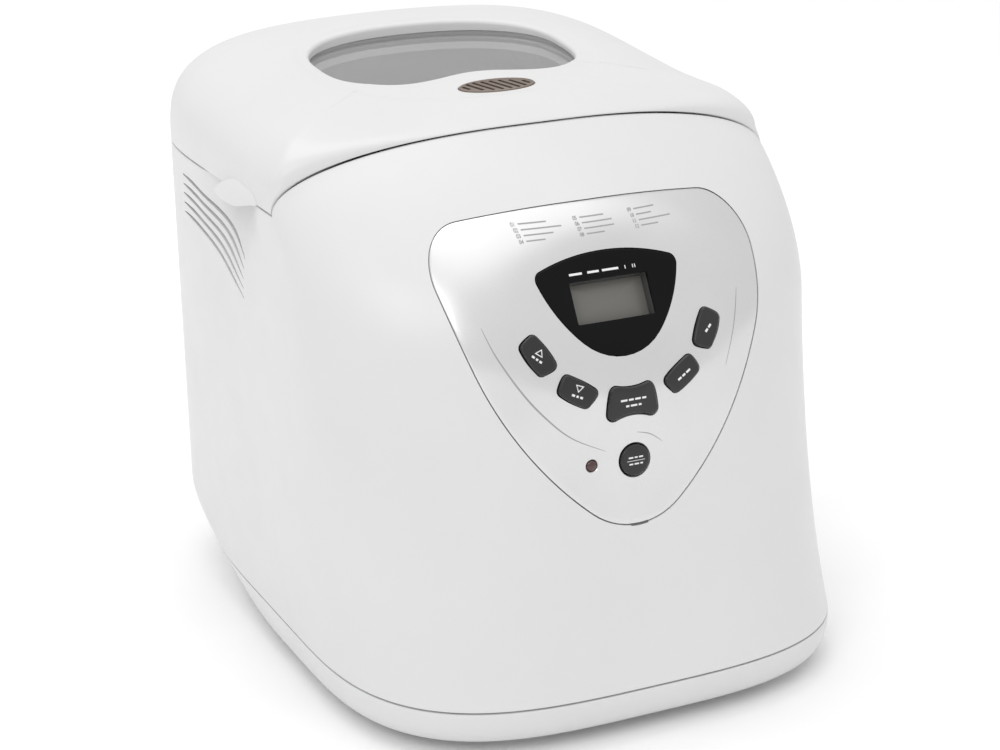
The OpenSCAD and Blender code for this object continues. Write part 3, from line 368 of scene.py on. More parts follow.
def panel_y(x, z):
    inside = max(0.0, 1 - (x / DISH_HALF_W) ** 2 - ((z - DISH_MID_Z) / DISH_HALF_H) ** 2)
    return bow_y(x, z) + DISH_DEPTH * inside ** 2


def panel_normal(x, z):
    n = Vector((panel_y(x + 0.5, z) - panel_y(x - 0.5, z), -1,
                panel_y(x, z + 0.5) - panel_y(x, z - 0.5)))
    return n.normalized()


def panel_axes(x, z):
    """Origin, right, up and outward axes of the panel at a spot, in millimetres."""
    out = panel_normal(x, z)
    right = Vector((-out.y, out.x, 0)).normalized()
    return Vector((x, panel_y(x, z), z)), right, out.cross(right), out


def panel_place(spot, u, v, w):
    """A point u right, v up and w out of the panel at a spot."""
    o, right, up, out = panel_axes(*spot)
    p = o + right * u + up * v + out * w
    return p.x, p.y, p.z


def panel_ring(spot, outline, w):
    return [panel_place(spot, u, v, w) for u, v in outline]


def on_surface(x, z, back):
    return x, panel_y(x, z) + back, z


def panel_outline(grow=0.0):
    return blend_outline([(-58, 209.3, 21.5 + grow), (0, 130, 34 + grow), (58, 209.3, 21.5 + grow)],
                         [165 + grow, 165 + grow, 480 + grow], 14, 34)


def shield_outline(grow=0.0):
    return blend_outline([(-31.5, 206.5, 3.5 + grow), (0, 200, 27.5 + grow), (31.5, 206.5, 3.5 + grow)],
                         [60 + grow, 60 + grow, 105 + grow], 10, 22)


KEY_ARC_Z, KEY_ARC_R, KEY_IN, KEY_OUT = 200.9, 48.3, 43.6, 53.4
KEY_ANGLES = {"time_up": -61.4, "time_down": -33.2, "menu": 33.2, "crust": 61.4}
KEY_HALF_ANGLE, KEY_CORNER, KEY_PROUD, KEY_GAP = 10.2, 2.6, 1.2, 0.35
START_R = 7.2
LED_SPOT, LED_R = (-21.1, 126.1), 2.6


def arc_spot(angle, r):
    a = radians(angle)
    return r * sin(a), KEY_ARC_Z - r * cos(a)


def arc_key_outline(angle, grow):
    mx, mz = arc_spot(angle, KEY_ARC_R)
    circles = []
    for r, side in ((KEY_OUT, -1), (KEY_OUT, 1), (KEY_IN, 1), (KEY_IN, -1)):
        inner = r == KEY_IN
        x, z = arc_spot(angle + side * (KEY_HALF_ANGLE - (2 if inner else 3.4)),
                        r + (KEY_CORNER if inner else -KEY_CORNER))
        circles.append((x - mx, z - mz, KEY_CORNER + grow))
    return blend_outline(circles, [40 + grow, 26 + grow, 60 + grow, 26 + grow], 8, 10)


def bow_tie_outline(grow):
    return blend_outline([(-9.6, -4.6, 3 + grow), (9.6, -4.6, 3 + grow),
                          (8, 4.8, 3 + grow), (-8, 4.8, 3 + grow)],
                         [-22 + grow, 60 + grow, -26 + grow, 60 + grow], 8, 12)


def round_outline(r, n=64):
    return [(r * cos(2 * pi * k / n), r * sin(2 * pi * k / n)) for k in range(n)]


KEYS = {name: (arc_spot(a, KEY_ARC_R), lambda grow, a=a: arc_key_outline(a, grow))
        for name, a in KEY_ANGLES.items()}
KEYS["loaf_size"] = ((0, 152.8), bow_tie_outline)
KEYS["start_stop"] = ((0, 125.6), lambda grow: round_outline(START_R + grow))


# ---------------------------------------------------------------- materials
def principled(name):
    mat = bpy.data.materials.new(name)
    mat.use_nodes = True
    return mat, mat.node_tree, mat.node_tree.nodes["Principled BSDF"]


def object_coords(tree, scale):
    """Object coordinates, scaled; one unit of the result is 1/scale metres."""
    coord = tree.nodes.new("ShaderNodeTexCoord")
    mapping = tree.nodes.new("ShaderNodeMapping")
    mapping.inputs["Scale"].default_value = scale
    tree.links.new(coord.outputs["Object"], mapping.inputs["Vector"])
    return mapping.outputs["Vector"]


def noise(tree, vector, scale, detail=3, rough=0.5):
    node = tree.nodes.new("ShaderNodeTexNoise")
    for name, value in (("Scale", scale), ("Detail", detail), ("Roughness", rough)):
        node.inputs[name].default_value = value
    tree.links.new(vector, node.inputs["Vector"])
    return node.outputs["Fac"]


def mottle(tree, shader, fac, colour, vary):
    """The colour wanders a little round its middle."""
    node = tree.nodes.new("ShaderNodeValToRGB")
    for element, position, factor in zip(node.color_ramp.elements, (0.3, 0.7), (1 - vary, 1 + vary)):
        element.position = position
        element.color = (*(min(c * factor, 1.0) for c in colour), 1)
    tree.links.new(fac, node.inputs["Fac"])
    tree.links.new(node.outputs["Color"], shader.inputs["Base Color"])


def uneven(tree, shader, fac, low, high):
    """The roughness wanders between two values."""
    node = tree.nodes.new("ShaderNodeMapRange")
    for name, value in (("From Min", 0.3), ("From Max", 0.7), ("To Min", low), ("To Max", high)):
        node.inputs[name].default_value = value
    tree.links.new(fac, node.inputs["Value"])
    tree.links.new(node.outputs["Result"], shader.inputs["Roughness"])


def bump(tree, shader, height, strength, distance):
    node = tree.nodes.new("ShaderNodeBump")
    node.inputs["Strength"].default_value = strength
    node.inputs["Distance"].default_value = distance
    tree.links.new(height, node.inputs["Height"])
    tree.links.new(node.outputs["Normal"], shader.inputs["Normal"])


def plastic(name, colour, rough=0.3, grain=900.0, grain_depth=0.00003, coat=0.0, vary=0.04,
            strength=0.15, shine=0.5):
    """Moulded plastic: faint mottling, uneven gloss and a fine skin."""
    mat, tree, bsdf = principled(name)
    bsdf.inputs["Specular IOR Level"].default_value = shine
    coords = object_coords(tree, (1, 1, 1))
    mottle(tree, bsdf, noise(tree, coords, 18, 4), colour, vary)
    uneven(tree, bsdf, noise(tree, coords, 60, 3), rough * 0.88, rough * 1.12)
    bump(tree, bsdf, noise(tree, coords, grain, 2), strength, grain_depth)
    bsdf.inputs["Coat Weight"].default_value = coat
    bsdf.inputs["Coat Roughness"].default_value = 0.15
    return mat


def metal(name, colour, rough=0.3, stretch=(1, 1, 1), grain=700.0, strength=0.12, vary=0.08,
          metallic=1.0):
    """Metal with a grain that can be stretched along an axis into brush marks."""
    mat, tree, bsdf = principled(name)
    coords = object_coords(tree, stretch)
    marks = noise(tree, coords, grain, 4, 0.6)
    mottle(tree, bsdf, noise(tree, object_coords(tree, (1, 1, 1)), 25, 3), colour, vary)
    uneven(tree, bsdf, marks, rough * 0.8, rough * 1.25)
    bump(tree, bsdf, marks, strength, 0.00004)
    bsdf.inputs["Metallic"].default_value = metallic
    return mat


def tinted_glass(name, colour, alpha, rough=0.06):
    mat, tree, bsdf = principled(name)
    coords = object_coords(tree, (1, 1, 1))
    mottle(tree, bsdf, noise(tree, coords, 12, 3), colour, 0.06)
    uneven(tree, bsdf, noise(tree, coords, 40, 3), rough * 0.7, rough * 1.3)
    bsdf.inputs["Alpha"].default_value = alpha
    bsdf.inputs["Coat Weight"].default_value = 0.6
    bsdf.inputs["Coat Roughness"].default_value = 0.03
    return mat


# the maker of each material, and its values
LOOKS = {
    "white_shell": (plastic, (0.68, 0.68, 0.678), 0.4, 500, 0.00002, 0.1, 0.012, 0.05),
    "rubber": (plastic, (0.018, 0.018, 0.019), 0.7, 1400, 0.0001, 0, 0.2, 0.5),
    "satin_silver": (metal, (0.715, 0.715, 0.717), 0.33, (1, 1, 1), 2600, 0.06, 0.02),
    "grey_plastic": (plastic, (0.52, 0.52, 0.51), 0.45, 1200, 0.00005, 0, 0.03, 0.3),
    "gloss_black": (plastic, (0.005, 0.005, 0.0055), 0.1, 400, 0.00001, 0.0, 0.2, 0.05, 0.1),
    "lcd": (plastic, (0.155, 0.152, 0.138), 0.35, 800, 0.00001, 0.1, 0.04, 0.05),
    "key_plastic": (plastic, (0.022, 0.022, 0.023), 0.25, 900, 0.00003, 0.0, 0.12, 0.2, 0.4),
    "led": (plastic, (0.06, 0.014, 0.012), 0.15, 500, 0.00002, 0.7, 0.25, 0.1),
    "circuit_board": (plastic, (0.02, 0.11, 0.045), 0.4, 1200, 0.00006, 0.2, 0.15, 0.4),
    "black_plastic": (plastic, (0.022, 0.022, 0.024), 0.45, 1200, 0.00006, 0, 0.15, 0.4),
    "steel": (metal, (0.58, 0.58, 0.59), 0.3, (1, 1, 1), 900, 0.15, 0.08),
    "chamber_sheet": (metal, (0.56, 0.56, 0.56), 0.3, (3, 3, 0.08), 260, 0.3, 0.06),
    "element": (metal, (0.10, 0.095, 0.09), 0.5, (1, 1, 1), 1500, 0.5, 0.2, 0.6),
    "ceramic": (plastic, (0.72, 0.68, 0.6), 0.7, 1800, 0.00008, 0, 0.08, 0.5),
    "cast_metal": (metal, (0.42, 0.42, 0.42), 0.5, (1, 1, 1), 1800, 0.5, 0.1),
    "bronze": (metal, (0.55, 0.38, 0.17), 0.4, (1, 1, 1), 2000, 0.35, 0.12),
    "pulley_plastic": (plastic, (0.72, 0.69, 0.6), 0.4, 900, 0.00005, 0, 0.06, 0.3),
    "motor_paint": (metal, (0.12, 0.12, 0.13), 0.4, (1, 1, 1), 1200, 0.3, 0.1, 0.5),
    "coil_tape": (plastic, (0.7, 0.43, 0.06), 0.35, 600, 0.00006, 0.1, 0.1, 0.3),
    "vent_plastic": (plastic, (0.145, 0.108, 0.084), 0.4, 1200, 0.00005, 0.1, 0.08, 0.3),
    "window_glass": (tinted_glass, (0.56, 0.562, 0.565), 0.32),
    "nonstick": (metal, (0.075, 0.075, 0.08), 0.42, (1, 1, 1), 2400, 0.4, 0.15, 0.5),
}
M = {name: make(name, *values) for name, (make, *values) in LOOKS.items()}
PRINT_WHITE = plastic("print_white", (0.78, 0.78, 0.78), 0.5, 900, 0.00002, 0, 0.03, 0.1)
PRINT_GREY = plastic("print_grey", (0.33, 0.33, 0.34), 0.5, 900, 0.00002, 0, 0.05, 0.1)
# painted shade: the dark colour of the notch strip stands for the shade inside the panel's finger notch
NOTCH_SHADE = plastic("painted_notch_shade", (0.10, 0.10, 0.105), 0.5, 900, 0.00002, 0, 0.08, 0.1)
COLLAR = plastic("window_collar", (0.9, 0.9, 0.9), 0.4, 900, 0.00003, 0, 0.03, 0.2)
WELL = plastic("display_well", (0.075, 0.078, 0.075), 0.4, 900, 0.00003, 0, 0.06, 0.2)
FLOOR = plastic("floor_paper", (0.96, 0.96, 0.96), 0.8, 300, 0.00002, 0, 0.01, 0.05)

slot_of = {s["node"]: s["material_slot"] for s in frame["record"]["subparts"]}
for node, obj in frame["nodes"].items():
    obj.data.materials.clear()
    obj.data.materials.append(M[slot_of[node]])


def settle(obj, body, *nodes, slot_name=None):
    """The piece rides on a body and stands for CAD nodes."""
    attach(obj, body)
    if nodes:
        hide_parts(*nodes)
    return obj


# ---------------------------------------------------------------- cabinet
def round_edge(n=5, r=EDGE_R):
    """(inset, distance from the edge) along a quarter round, from the face to the edge."""
    return [(r * (1 - cos(0.5 * pi * k / n)), r * (1 - sin(0.5 * pi * k / n))) for k in range(n + 1)]


LOUVRE_COUNT, LOUVRE_TOP, LOUVRE_PITCH, LOUVRE_H = 5, 217.5, 4.8, 2.0
LOUVRE_SPAN = (176.0, 264.0)
LOUVRE_FALL, LOUVRE_FALL_RUN = 23.5, 92


def louvre_z(k, y):
    return LOUVRE_TOP - LOUVRE_PITCH * k - LOUVRE_FALL * ((LOUVRE_SPAN[1] - y) / LOUVRE_FALL_RUN) ** 2


def side_slot(name, k, side):
    """A cutter for louvre k on one side."""
    n = 20
    lower, upper = [], []
    for j in range(n + 1):
        y = LOUVRE_SPAN[0] + (LOUVRE_SPAN[1] - LOUVRE_SPAN[0]) * j / n
        h = LOUVRE_H * min(1, 0.35 + 4 * min(j, n - j) / n)
        lower.append((y, louvre_z(k, y) + (LOUVRE_H - h) / 2))
        upper.append((y, louvre_z(k, y) + (LOUVRE_H + h) / 2))
    outline = lower + upper[::-1]
    return prism(name, [[(side * x, y, z) for y, z in outline] for x in (HALF_W * 0.5, HALF_W + 6)])


def prism(name, rings):
    """A closed cutter between two outlines."""
    n = len(rings[0])
    verts = [p for r in rings for p in r]
    faces = [(j * n + i, j * n + (i + 1) % n, (j + 1) * n + (i + 1) % n, (j + 1) * n + i)
             for j in range(len(rings) - 1) for i in range(n)]
    faces += [tuple(range(n)), tuple(range((len(rings) - 1) * n, len(rings) * n))]
    obj = new_object(name, verts, faces)
    outward(obj)
    return obj


def outline_cutter(name, outline):
    """A cutter through the whole front of the cabinet."""
    return prism(name, [[(x, y, z) for x, z in outline] for y in (-20, 120)])


HINGE_X, HINGE_Y, HINGE_Z, PIN_HOLE_R = 62.0, CABINET_D + 5.2, SIDE_SEAM, 1.65
LUG_W, LUG_TOP, LUG_SLOPE_TOP, LUG_FOOT = 6.0, -2, -7, -20
LUGS = ((-10, 2.5), (4, 5.0))  # start, from the middle of the hinge; root, in the wall
KNUCKLE_W, KNUCKLE_R, KNUCKLE_GAP, KNUCKLE_ROOT, KNUCKLE_TOP = 8, 4.5, 0.4, 3.8, 11


def hinge_leaf(name, x0, width, outline):
    """An outline round the hinge axis, from x0 on, bored for the pin."""
    def across(points, xs):
        return [[(x, HINGE_Y + y, HINGE_Z + z) for y, z in points] for x in xs]

    leaf = prism(name, across(outline, (x0, x0 + width)))
    leaf.data.materials.append(M["white_shell"])
    cut(leaf, [prism("pin_bore", across(round_outline(PIN_HOLE_R, 32), (x0 - 1, x0 + width + 1)))])
    return leaf


def hinge_lugs():
    leaves = []
    for side in (-1, 1):
        for start, root in LUGS:
            x, wall = HINGE_X + start, CABINET_D - root - HINGE_Y
            outline = ([(wall, LUG_FOOT), (-3.7, LUG_FOOT), (KNUCKLE_R, LUG_SLOPE_TOP)]
                       + arc((0, 0), KNUCKLE_R, 0, pi, 16) + [(-KNUCKLE_R, LUG_TOP), (wall, LUG_TOP)])
            leaves.append(hinge_leaf("hinge_lug", x if side > 0 else -x - LUG_W, LUG_W, outline))
    return leaves


def hinge_knuckles():
    wall = CABINET_D - KNUCKLE_ROOT - HINGE_Y
    outline = (arc((0, 0), KNUCKLE_R, radians(150), radians(250), 24)
               + [(-4.4, KNUCKLE_TOP), (wall, KNUCKLE_TOP), (wall, KNUCKLE_R / 2)])
    return [hinge_leaf("hinge_knuckle", side * HINGE_X - KNUCKLE_W / 2 + KNUCKLE_GAP,
                       KNUCKLE_W - 2 * KNUCKLE_GAP, outline) for side in (-1, 1)]


PANEL_GAP = 0.3


def build_cabinet():
    outer, inner, edge = 76, 24, round_edge()
    rings = ([body_ring(0, inset, step) for inset, step in reversed(edge)]
             + [body_ring(k / outer, 0, 0) for k in range(1, outer)]
             + [body_ring(1, inset, -step) for inset, step in edge]
             + [body_ring(1 - k / inner, WALL, 0) for k in range(inner + 1)])
    shell = loft("cabinet_shell", rings, M["white_shell"])
    cutters = [outline_cutter("panel_hole", panel_outline(PANEL_GAP))]
    for side in (-1, 1):
        for k in range(LOUVRE_COUNT):
            cutters.append(side_slot(f"slot_{side}_{k}", k, side))
    cut(shell, cutters)
    return settle(join("cabinet_skin", [shell] + hinge_lugs()), "cabinet", "body_shell")


def tray_inset(i):
    """How much the tray draws in at its foot: more at the front."""
    k = min(i % N_RING, N_RING - i % N_RING)
    return BASE_INSET + FRONT_INSET * (1 - smooth(k / N_FRONT))


def side_x(y, z, inset):
    """Half width of the cabinet over the louvres."""
    w, over = HALF_W - inset, y - (CABINET_D - REAR_ROUND)
    if over > 0:
        w *= (1 - (over / (REAR_ROUND - inset)) ** REAR_EXP) ** (1 / REAR_EXP)
    return w - scoop(y, z)


SCREEN_Y, SCREEN_LENGTH, SCREEN_OVER = 170, 98, 3
SCREEN_OUT, SCREEN_IN = WALL + 1.8, WALL + 2.8


def build_baffles():
    """Light screens behind the louvres, a little off the wall."""
    sides = []
    steps, rows = 35, 10
    for side in (-1, 1):
        rings = []
        for k in range(steps + 1):
            y = SCREEN_Y + SCREEN_LENGTH * k / steps
            low, high = louvre_z(LOUVRE_COUNT - 1, y) - SCREEN_OVER, louvre_z(0, y) + LOUVRE_H + SCREEN_OVER
            zs = [high - (high - low) * j / rows for j in range(rows + 1)]
            rings.append([(side * side_x(y, z, SCREEN_OUT), y, z) for z in zs]
                         + [(side * side_x(y, z, SCREEN_IN), y, z) for z in reversed(zs)])
        sides.append(loft("screen", rings, M["white_shell"], closed=False, caps=True))
    settle(join("louvre_screens", sides), "cabinet", "louvre_baffles")


TONGUE_H, TONGUE_OUT, TONGUE_IN = 6, WALL + 0.8, WALL + 2.2
FLOOR_INSET = 40
TRAY_SLOT_REACH, TRAY_SLOT_PITCH, TRAY_SLOT_HALF_W = 4, 12, 2
TRAY_SLOT_Y = (120, 166)


def build_tray():
    def ring(z, share, inset=0.0):
        return [(*ring_point(i, z, share * tray_inset(i) + inset), z) for i in range(N_RING)]

    top = BASE_SEAM - SEAM_GAP / 2
    rings = [ring(FOOT_Z, 1, FLOOR_INSET), ring(FOOT_Z, 1, 6), ring(FOOT_Z, 1, 1)]
    steps = 16
    for k in range(steps):
        a = 0.5 * pi * k / steps
        rings.append(ring(FOOT_Z + 0.4 + (top - EDGE_R - 0.4 - FOOT_Z) * (1 - cos(a)), 1 - sin(a)))
    for inset, step in round_edge():
        rings.append(ring(top - step, 0, inset))
    rings += [ring(top, 0, TONGUE_OUT), ring(BASE_SEAM + TONGUE_H, 0, TONGUE_OUT),
              ring(BASE_SEAM + TONGUE_H, 0, TONGUE_IN), ring(top - TONGUE_H, 0, TONGUE_IN),
              ring(FOOT_Z + WALL, 1, WALL + 2), ring(FOOT_Z + WALL, 1, FLOOR_INSET)]
    tray = loft("base_shell", rings, M["white_shell"], closed=False, caps=True)
    cutters = []
    for k in range(-TRAY_SLOT_REACH, TRAY_SLOT_REACH + 1):
        x, w, (y0, y1) = k * TRAY_SLOT_PITCH, TRAY_SLOT_HALF_W, TRAY_SLOT_Y
        outline = [(x - w, y0), (x + w, y0), (x + w, y1), (x - w, y1)]
        cutters.append(prism(f"tray_slot_{k}", [[(x, y, z) for x, y in outline]
                                                for z in (FOOT_Z - 2, FOOT_Z + 6)]))
    cut(tray, cutters)
    return settle(tray, "cabinet", "base_tray")


# ---------------------------------------------------------------- lid
def lid_top(y):
    return LID_TOP + LID_SLOPE * (y - DOME_MID_Y)


def window_plane(y):
    return lid_top(y) - WINDOW_SET - WINDOW_RECESS


def window_point(angle, grow):
    rear = cos(angle) < 0
    n = WINDOW_REAR_EXP if rear else WINDOW_FRONT_EXP
    b = (WINDOW_REAR if rear else WINDOW_FRONT) + grow
    a = WINDOW_HALF_W + grow
    r = ((abs(sin(angle)) / a) ** n + (abs(cos(angle)) / b) ** n) ** (-1 / n)
    x = r * sin(angle)
    dent = 0 if rear else WINDOW_INDENT * exp(-((x / WINDOW_INDENT_W) ** 2))
    return x, WINDOW_MID_Y - r * cos(angle) + dent


CREASE_MID_Y, CREASE_HALF_W, CREASE_FRONT, CREASE_REAR = 225.0, 74.0, 77.0, 58.0
CREASE_STEP, CREASE_BLEND, CREASE_EXP = 0.9, 0.055, 2.3


def crease(x, y):
    """A soft step in the lid round the window and the vent."""
    b = CREASE_FRONT if y < CREASE_MID_Y else CREASE_REAR
    n = CREASE_EXP
    e = ((abs(x) / CREASE_HALF_W) ** n + (abs(y - CREASE_MID_Y) / b) ** n) ** (1 / n)
    return CREASE_STEP * smooth((e - 1) / CREASE_BLEND + 0.5) - CREASE_STEP


def seam_dir(i):
    x, y = ring_point(i, ring_seam(i), 0)
    return atan2(x, WINDOW_MID_Y - y)


BLEND_Y, BLEND_FROM, BLEND_RUN, BLEND_RATE = 131, 0.2, 1.3, 8
CHEEK_Y, CHEEK_RATE = 132, 1.25
STEEP_LOW, STEEP_HIGH = 3, 30


def seam_blend(x, y):
    """A softer line than the seam, which the lid's skin blends into."""
    v = min(abs(x) / HALF_W, 1) + max(y - BLEND_Y, 0) / HALF_W
    return SIDE_SEAM + ARCH_RISE * (1 - smooth((v - BLEND_FROM) / BLEND_RUN))


def seam_lean(z):
    """How steeply the cabinet's front leans back just below the seam."""
    return (CHIN_LEAN / CHIN_H * exp(-(z - BASE_SEAM) / CHIN_H)
            + 2 * BROW_BACK * max(z - BROW_Z, 0) / (ARCH_TOP - BROW_Z) ** 2)


def lid_point(i, part, inset, dz=0.0):
    """part runs from 0 at the seam to 1 at the window's rounded edge."""
    seam = ring_seam(i)
    qx, qy = ring_point(i, seam, inset)
    zq = seam + SEAM_GAP / 2
    wx, wy = window_point(seam_dir(i), WINDOW_EDGE_R)
    far = hypot(qx, qy - DOME_MID_Y)
    reach_all = hypot(wx - qx, wy - qy) / far
    n = DOME_EXP
    end = atan2(((1 - reach_all) ** -n - 1) ** (1 / n), 1)
    r = polar(end * part, n)
    reach, lift = 1 - r * cos(end * part), r * sin(end * part)
    s = clamp01(reach / reach_all)
    x, y = qx + (wx - qx) * s, qy + (wy - qy) * s
    side = 1.0 if qy > CHEEK_Y else smooth(abs(qx) / HALF_W * CHEEK_RATE)
    flare = bow_y(abs(qx) + 0.5, seam) - bow_y(abs(qx) - 0.5, seam)
    m = hypot(1, flare) / seam_lean(zq) * far / max(lid_top(qy) - zq, 1)
    m = min(max(m, STEEP_LOW), STEEP_HIGH)
    f = side * lift + (1 - side) * (1 - (1 - reach) ** m)
    foot = zq + dz + (seam_blend(qx, qy) - zq) * smooth(BLEND_RATE * reach)
    return x, y, foot + (lid_top(y) - inset - foot) * f + crease(x, y) * smooth(s * 3)


def lid_ring(part, inset, dz=0.0):
    return [lid_point(i, part, inset, dz) for i in range(N_RING)]


def window_ring(grow, height):
    """height is a function of (x, y)."""
    points = [window_point(seam_dir(i), grow) for i in range(N_RING)]
    return [(x, y, height(x, y)) for x, y in points]


TAB_FRONT_Y, TAB_LENGTH, TAB_DROP, TAB_H, TAB_OUT = 150.0, 56.0, 3.6, 9.8, 6.2


def tab_section(s, side):
    """A closed section of the leaf-shaped finger tab at s from its front end to its tip."""
    y = TAB_FRONT_Y + TAB_LENGTH * s
    low = SIDE_SEAM + 0.25 - TAB_DROP * smooth(s / 0.35)
    high = low + TAB_H * max(sin(pi * s ** 0.85), 0) ** 0.8 + 0.3
    out = TAB_OUT * max(sin(pi * s ** 1.2), 0) ** 0.5 + 0.2
    n = 16
    points = []
    for k in range(n + 1):
        t = k / n
        points.append((HALF_W - 0.6 + (out + 0.6) * t ** 0.85, y, high - (high - low) * t ** 1.5))
    points.append((HALF_W - 1.2 + out * 0.75, y, low + 0.3))
    root = max(low + 0.5, min(SIDE_SEAM + 1.2, high - 0.1))
    points.append((HALF_W - 1.5, y, root))
    return [(side * x, yy, z) for x, yy, z in points]


def build_tab(side):
    steps = 36
    rings = [tab_section(0.004 + 0.992 * k / steps, side) for k in range(steps + 1)]
    return loft(f"lift_tab_{'right' if side > 0 else 'left'}", rings, M["white_shell"],
                closed=False, caps=True, angle=50)


def vent_place(u, v, w):
    """A point of the vent's own frame, on the tilted lid."""
    t = radians(VENT_TILT)
    return (VENT_SPOT[0] + u, VENT_SPOT[1] + v * cos(t) - w * sin(t), VENT_Z + v * sin(t) + w * cos(t))


def vent_ring(outline, w):
    return [vent_place(u, v, w) for u, v in outline]


def ellipse(a, b, n=96):
    return [(a * cos(2 * pi * k / n), b * sin(2 * pi * k / n)) for k in range(n)]


RELAX_Y, RELAX_FADE_Y = 150, 50
RELAX_ROUNDS, RELAX_IN, RELAX_OUT, RELAX_FADE = 80, 0.2, 0.5, 0.35


def relaxed(ring, part):
    """The lid's front corners, sharp at the seam, soften over its shoulders."""
    share = [1 - smooth((p[1] - RELAX_Y) / RELAX_FADE_Y) for p in ring]
    rounds = RELAX_ROUNDS * smooth(part / RELAX_IN) * (1 - smooth((part - RELAX_OUT) / RELAX_FADE))
    soft = ring
    for _ in range(round(rounds)):
        soft = [tuple(0.25 * (a + c) + 0.5 * b for a, b, c in zip(p, q, r))
                for p, q, r in zip(soft[-1:] + soft[:-1], soft, soft[1:] + soft[:1])]
    return [tuple(a + (b - a) * w for a, b in zip(p, q)) for p, q, w in zip(ring, soft, share)]


def build_lid():
    steps = 64
    rings = []
    for inset, step in reversed(round_edge()):
        rings.append(lid_ring(0, inset, step))
    for k in range(1, steps + 1):
        rings.append(relaxed(lid_ring(k / steps, 0), k / steps))
    rim = rings[-1]
    n = 7
    for k in range(1, n + 1):
        a = 0.5 * pi * k / n
        edge = [window_point(seam_dir(i), WINDOW_EDGE_R * (1 - sin(a))) for i in range(N_RING)]
        rings.append([(x, y, p[2] - WINDOW_EDGE_R * (1 - cos(a))) for (x, y), p in zip(edge, rim)])
    rings.append(window_ring(0, lambda x, y: window_plane(y) + 0.1))
    rings.append(window_ring(WALL, lambda x, y: window_plane(y) + 0.1))
    inner = 20
    for k in range(inner - 1, -1, -1):
        rings.append(relaxed(lid_ring(k / inner, WALL), k / inner))
    skin = loft("lid_skin", rings, M["white_shell"])
    hole = prism("vent_hole", [vent_ring(ellipse(*VENT_HALF), w) for w in (-12, 12)])
    cut(skin, [hole])
    lid = join("lid_shell", [skin, build_tab(-1), build_tab(1)] + hinge_knuckles())
    return settle(lid, "lid", "lid_cover")


COLLAR_SECTION = ((0.4, 6.2), (0.4, 9.6), (1.6, 9.6), (1.6, 6.2))  # (grow, depth) corners


def build_window_collar():
    """A pale collar under the glass, seen through it along the rear edge."""
    rings = [window_ring(grow, lambda x, y, d=depth: window_plane(y) - d) for grow, depth in COLLAR_SECTION]
    collar = loft("window_collar", rings, COLLAR, closed=True)
    settle(collar, "lid", slot_name=slot_of["lid_liner"])


VENT_GAP, VENT_EDGE_R = 0.3, 0.8
VENT_SLOTS, VENT_SLOT_PITCH, VENT_SLOT_L, VENT_SLOT_LEAN = 8, 4.5, 14.5, 24
VENT_TAPER_X, VENT_TAPER = 16, 10


def build_vent():
    """The grille: an oval plate with leaning slots, the outer ones shorter."""
    a, b = VENT_HALF[0] - VENT_GAP, VENT_HALF[1] - VENT_GAP
    rings = [vent_ring(ellipse(a, b), -4)]
    for k in range(5):
        t = 0.5 * pi * k / 4
        grow, w = -VENT_EDGE_R * (1 - cos(t)), -VENT_EDGE_R + VENT_EDGE_R * sin(t)
        rings.append(vent_ring(ellipse(a + grow, b + grow), w))
    rings.append(vent_ring(ellipse(a - 2.0, b - 2.0), -0.35))
    vent = loft("steam_grille", rings, M["vent_plastic"], closed=False, caps=True)
    cutters = []
    lean = radians(VENT_SLOT_LEAN)
    for k in range(VENT_SLOTS):
        x = (k - (VENT_SLOTS - 1) / 2) * VENT_SLOT_PITCH
        h = VENT_SLOT_L - (abs(x) / VENT_TAPER_X) ** 3 * VENT_TAPER
        outline = []
        for sx, sv in ((-1, -1), (1, -1), (1, 1), (-1, 1)):
            u, v = sx, 0.5 * h * sv
            outline.append((x + u * cos(lean) - v * sin(lean), 0.4 + u * sin(lean) + v * cos(lean)))
        cutters.append(prism(f"vent_slot_{k}", [vent_ring(outline, w) for w in (-6, 3)]))
    cut(vent, cutters)
    return settle(vent, "lid", "steam_vent")


# ---------------------------------------------------------------- control panel pieces
def scaled(outline, mid, s):
    return [(x * s, mid + (z - mid) * s) for x, z in outline]


def surface_plate(name, outline_of, mid, thickness, edge, material, proud=0.0, count=34):
    """A plate on the panel surface: polar rings out to a rounded edge, and a back."""
    core = outline_of(-edge)
    rings = []
    for k in range(1, count + 1):
        rings.append([on_surface(x, z, -proud) for x, z in scaled(core, mid, k / count)])
    n = 5
    for k in range(1, n + 1):
        a = 0.5 * pi * k / n
        outline = outline_of(-edge * (1 - sin(a)))
        rings.append([on_surface(x, z, -proud + edge * (1 - cos(a))) for x, z in outline])
    outer = outline_of(0)
    rings.append([on_surface(x, z, thickness) for x, z in outer])
    for s in (0.66, 0.33, 0.05):
        rings.append([on_surface(x, z, thickness) for x, z in scaled(outer, mid, s)])
    return loft(name, rings, material, closed=False, caps=True)


def panel_prism(name, spot, outline_of, depths):
    """A cutter standing on the panel at a spot; depths are (height, grow)."""
    return prism(name, [panel_ring(spot, outline_of(grow), w) for w, grow in depths])


PANEL_MID_Z, PANEL_T, PANEL_EDGE_R = 172, 2.5, 0.9
SHIELD_MID_Z, SHIELD_T, SHIELD_EDGE_R, SHIELD_GAP, SHIELD_PROUD = 196, 1.8, 0.5, 0.35, 0.25


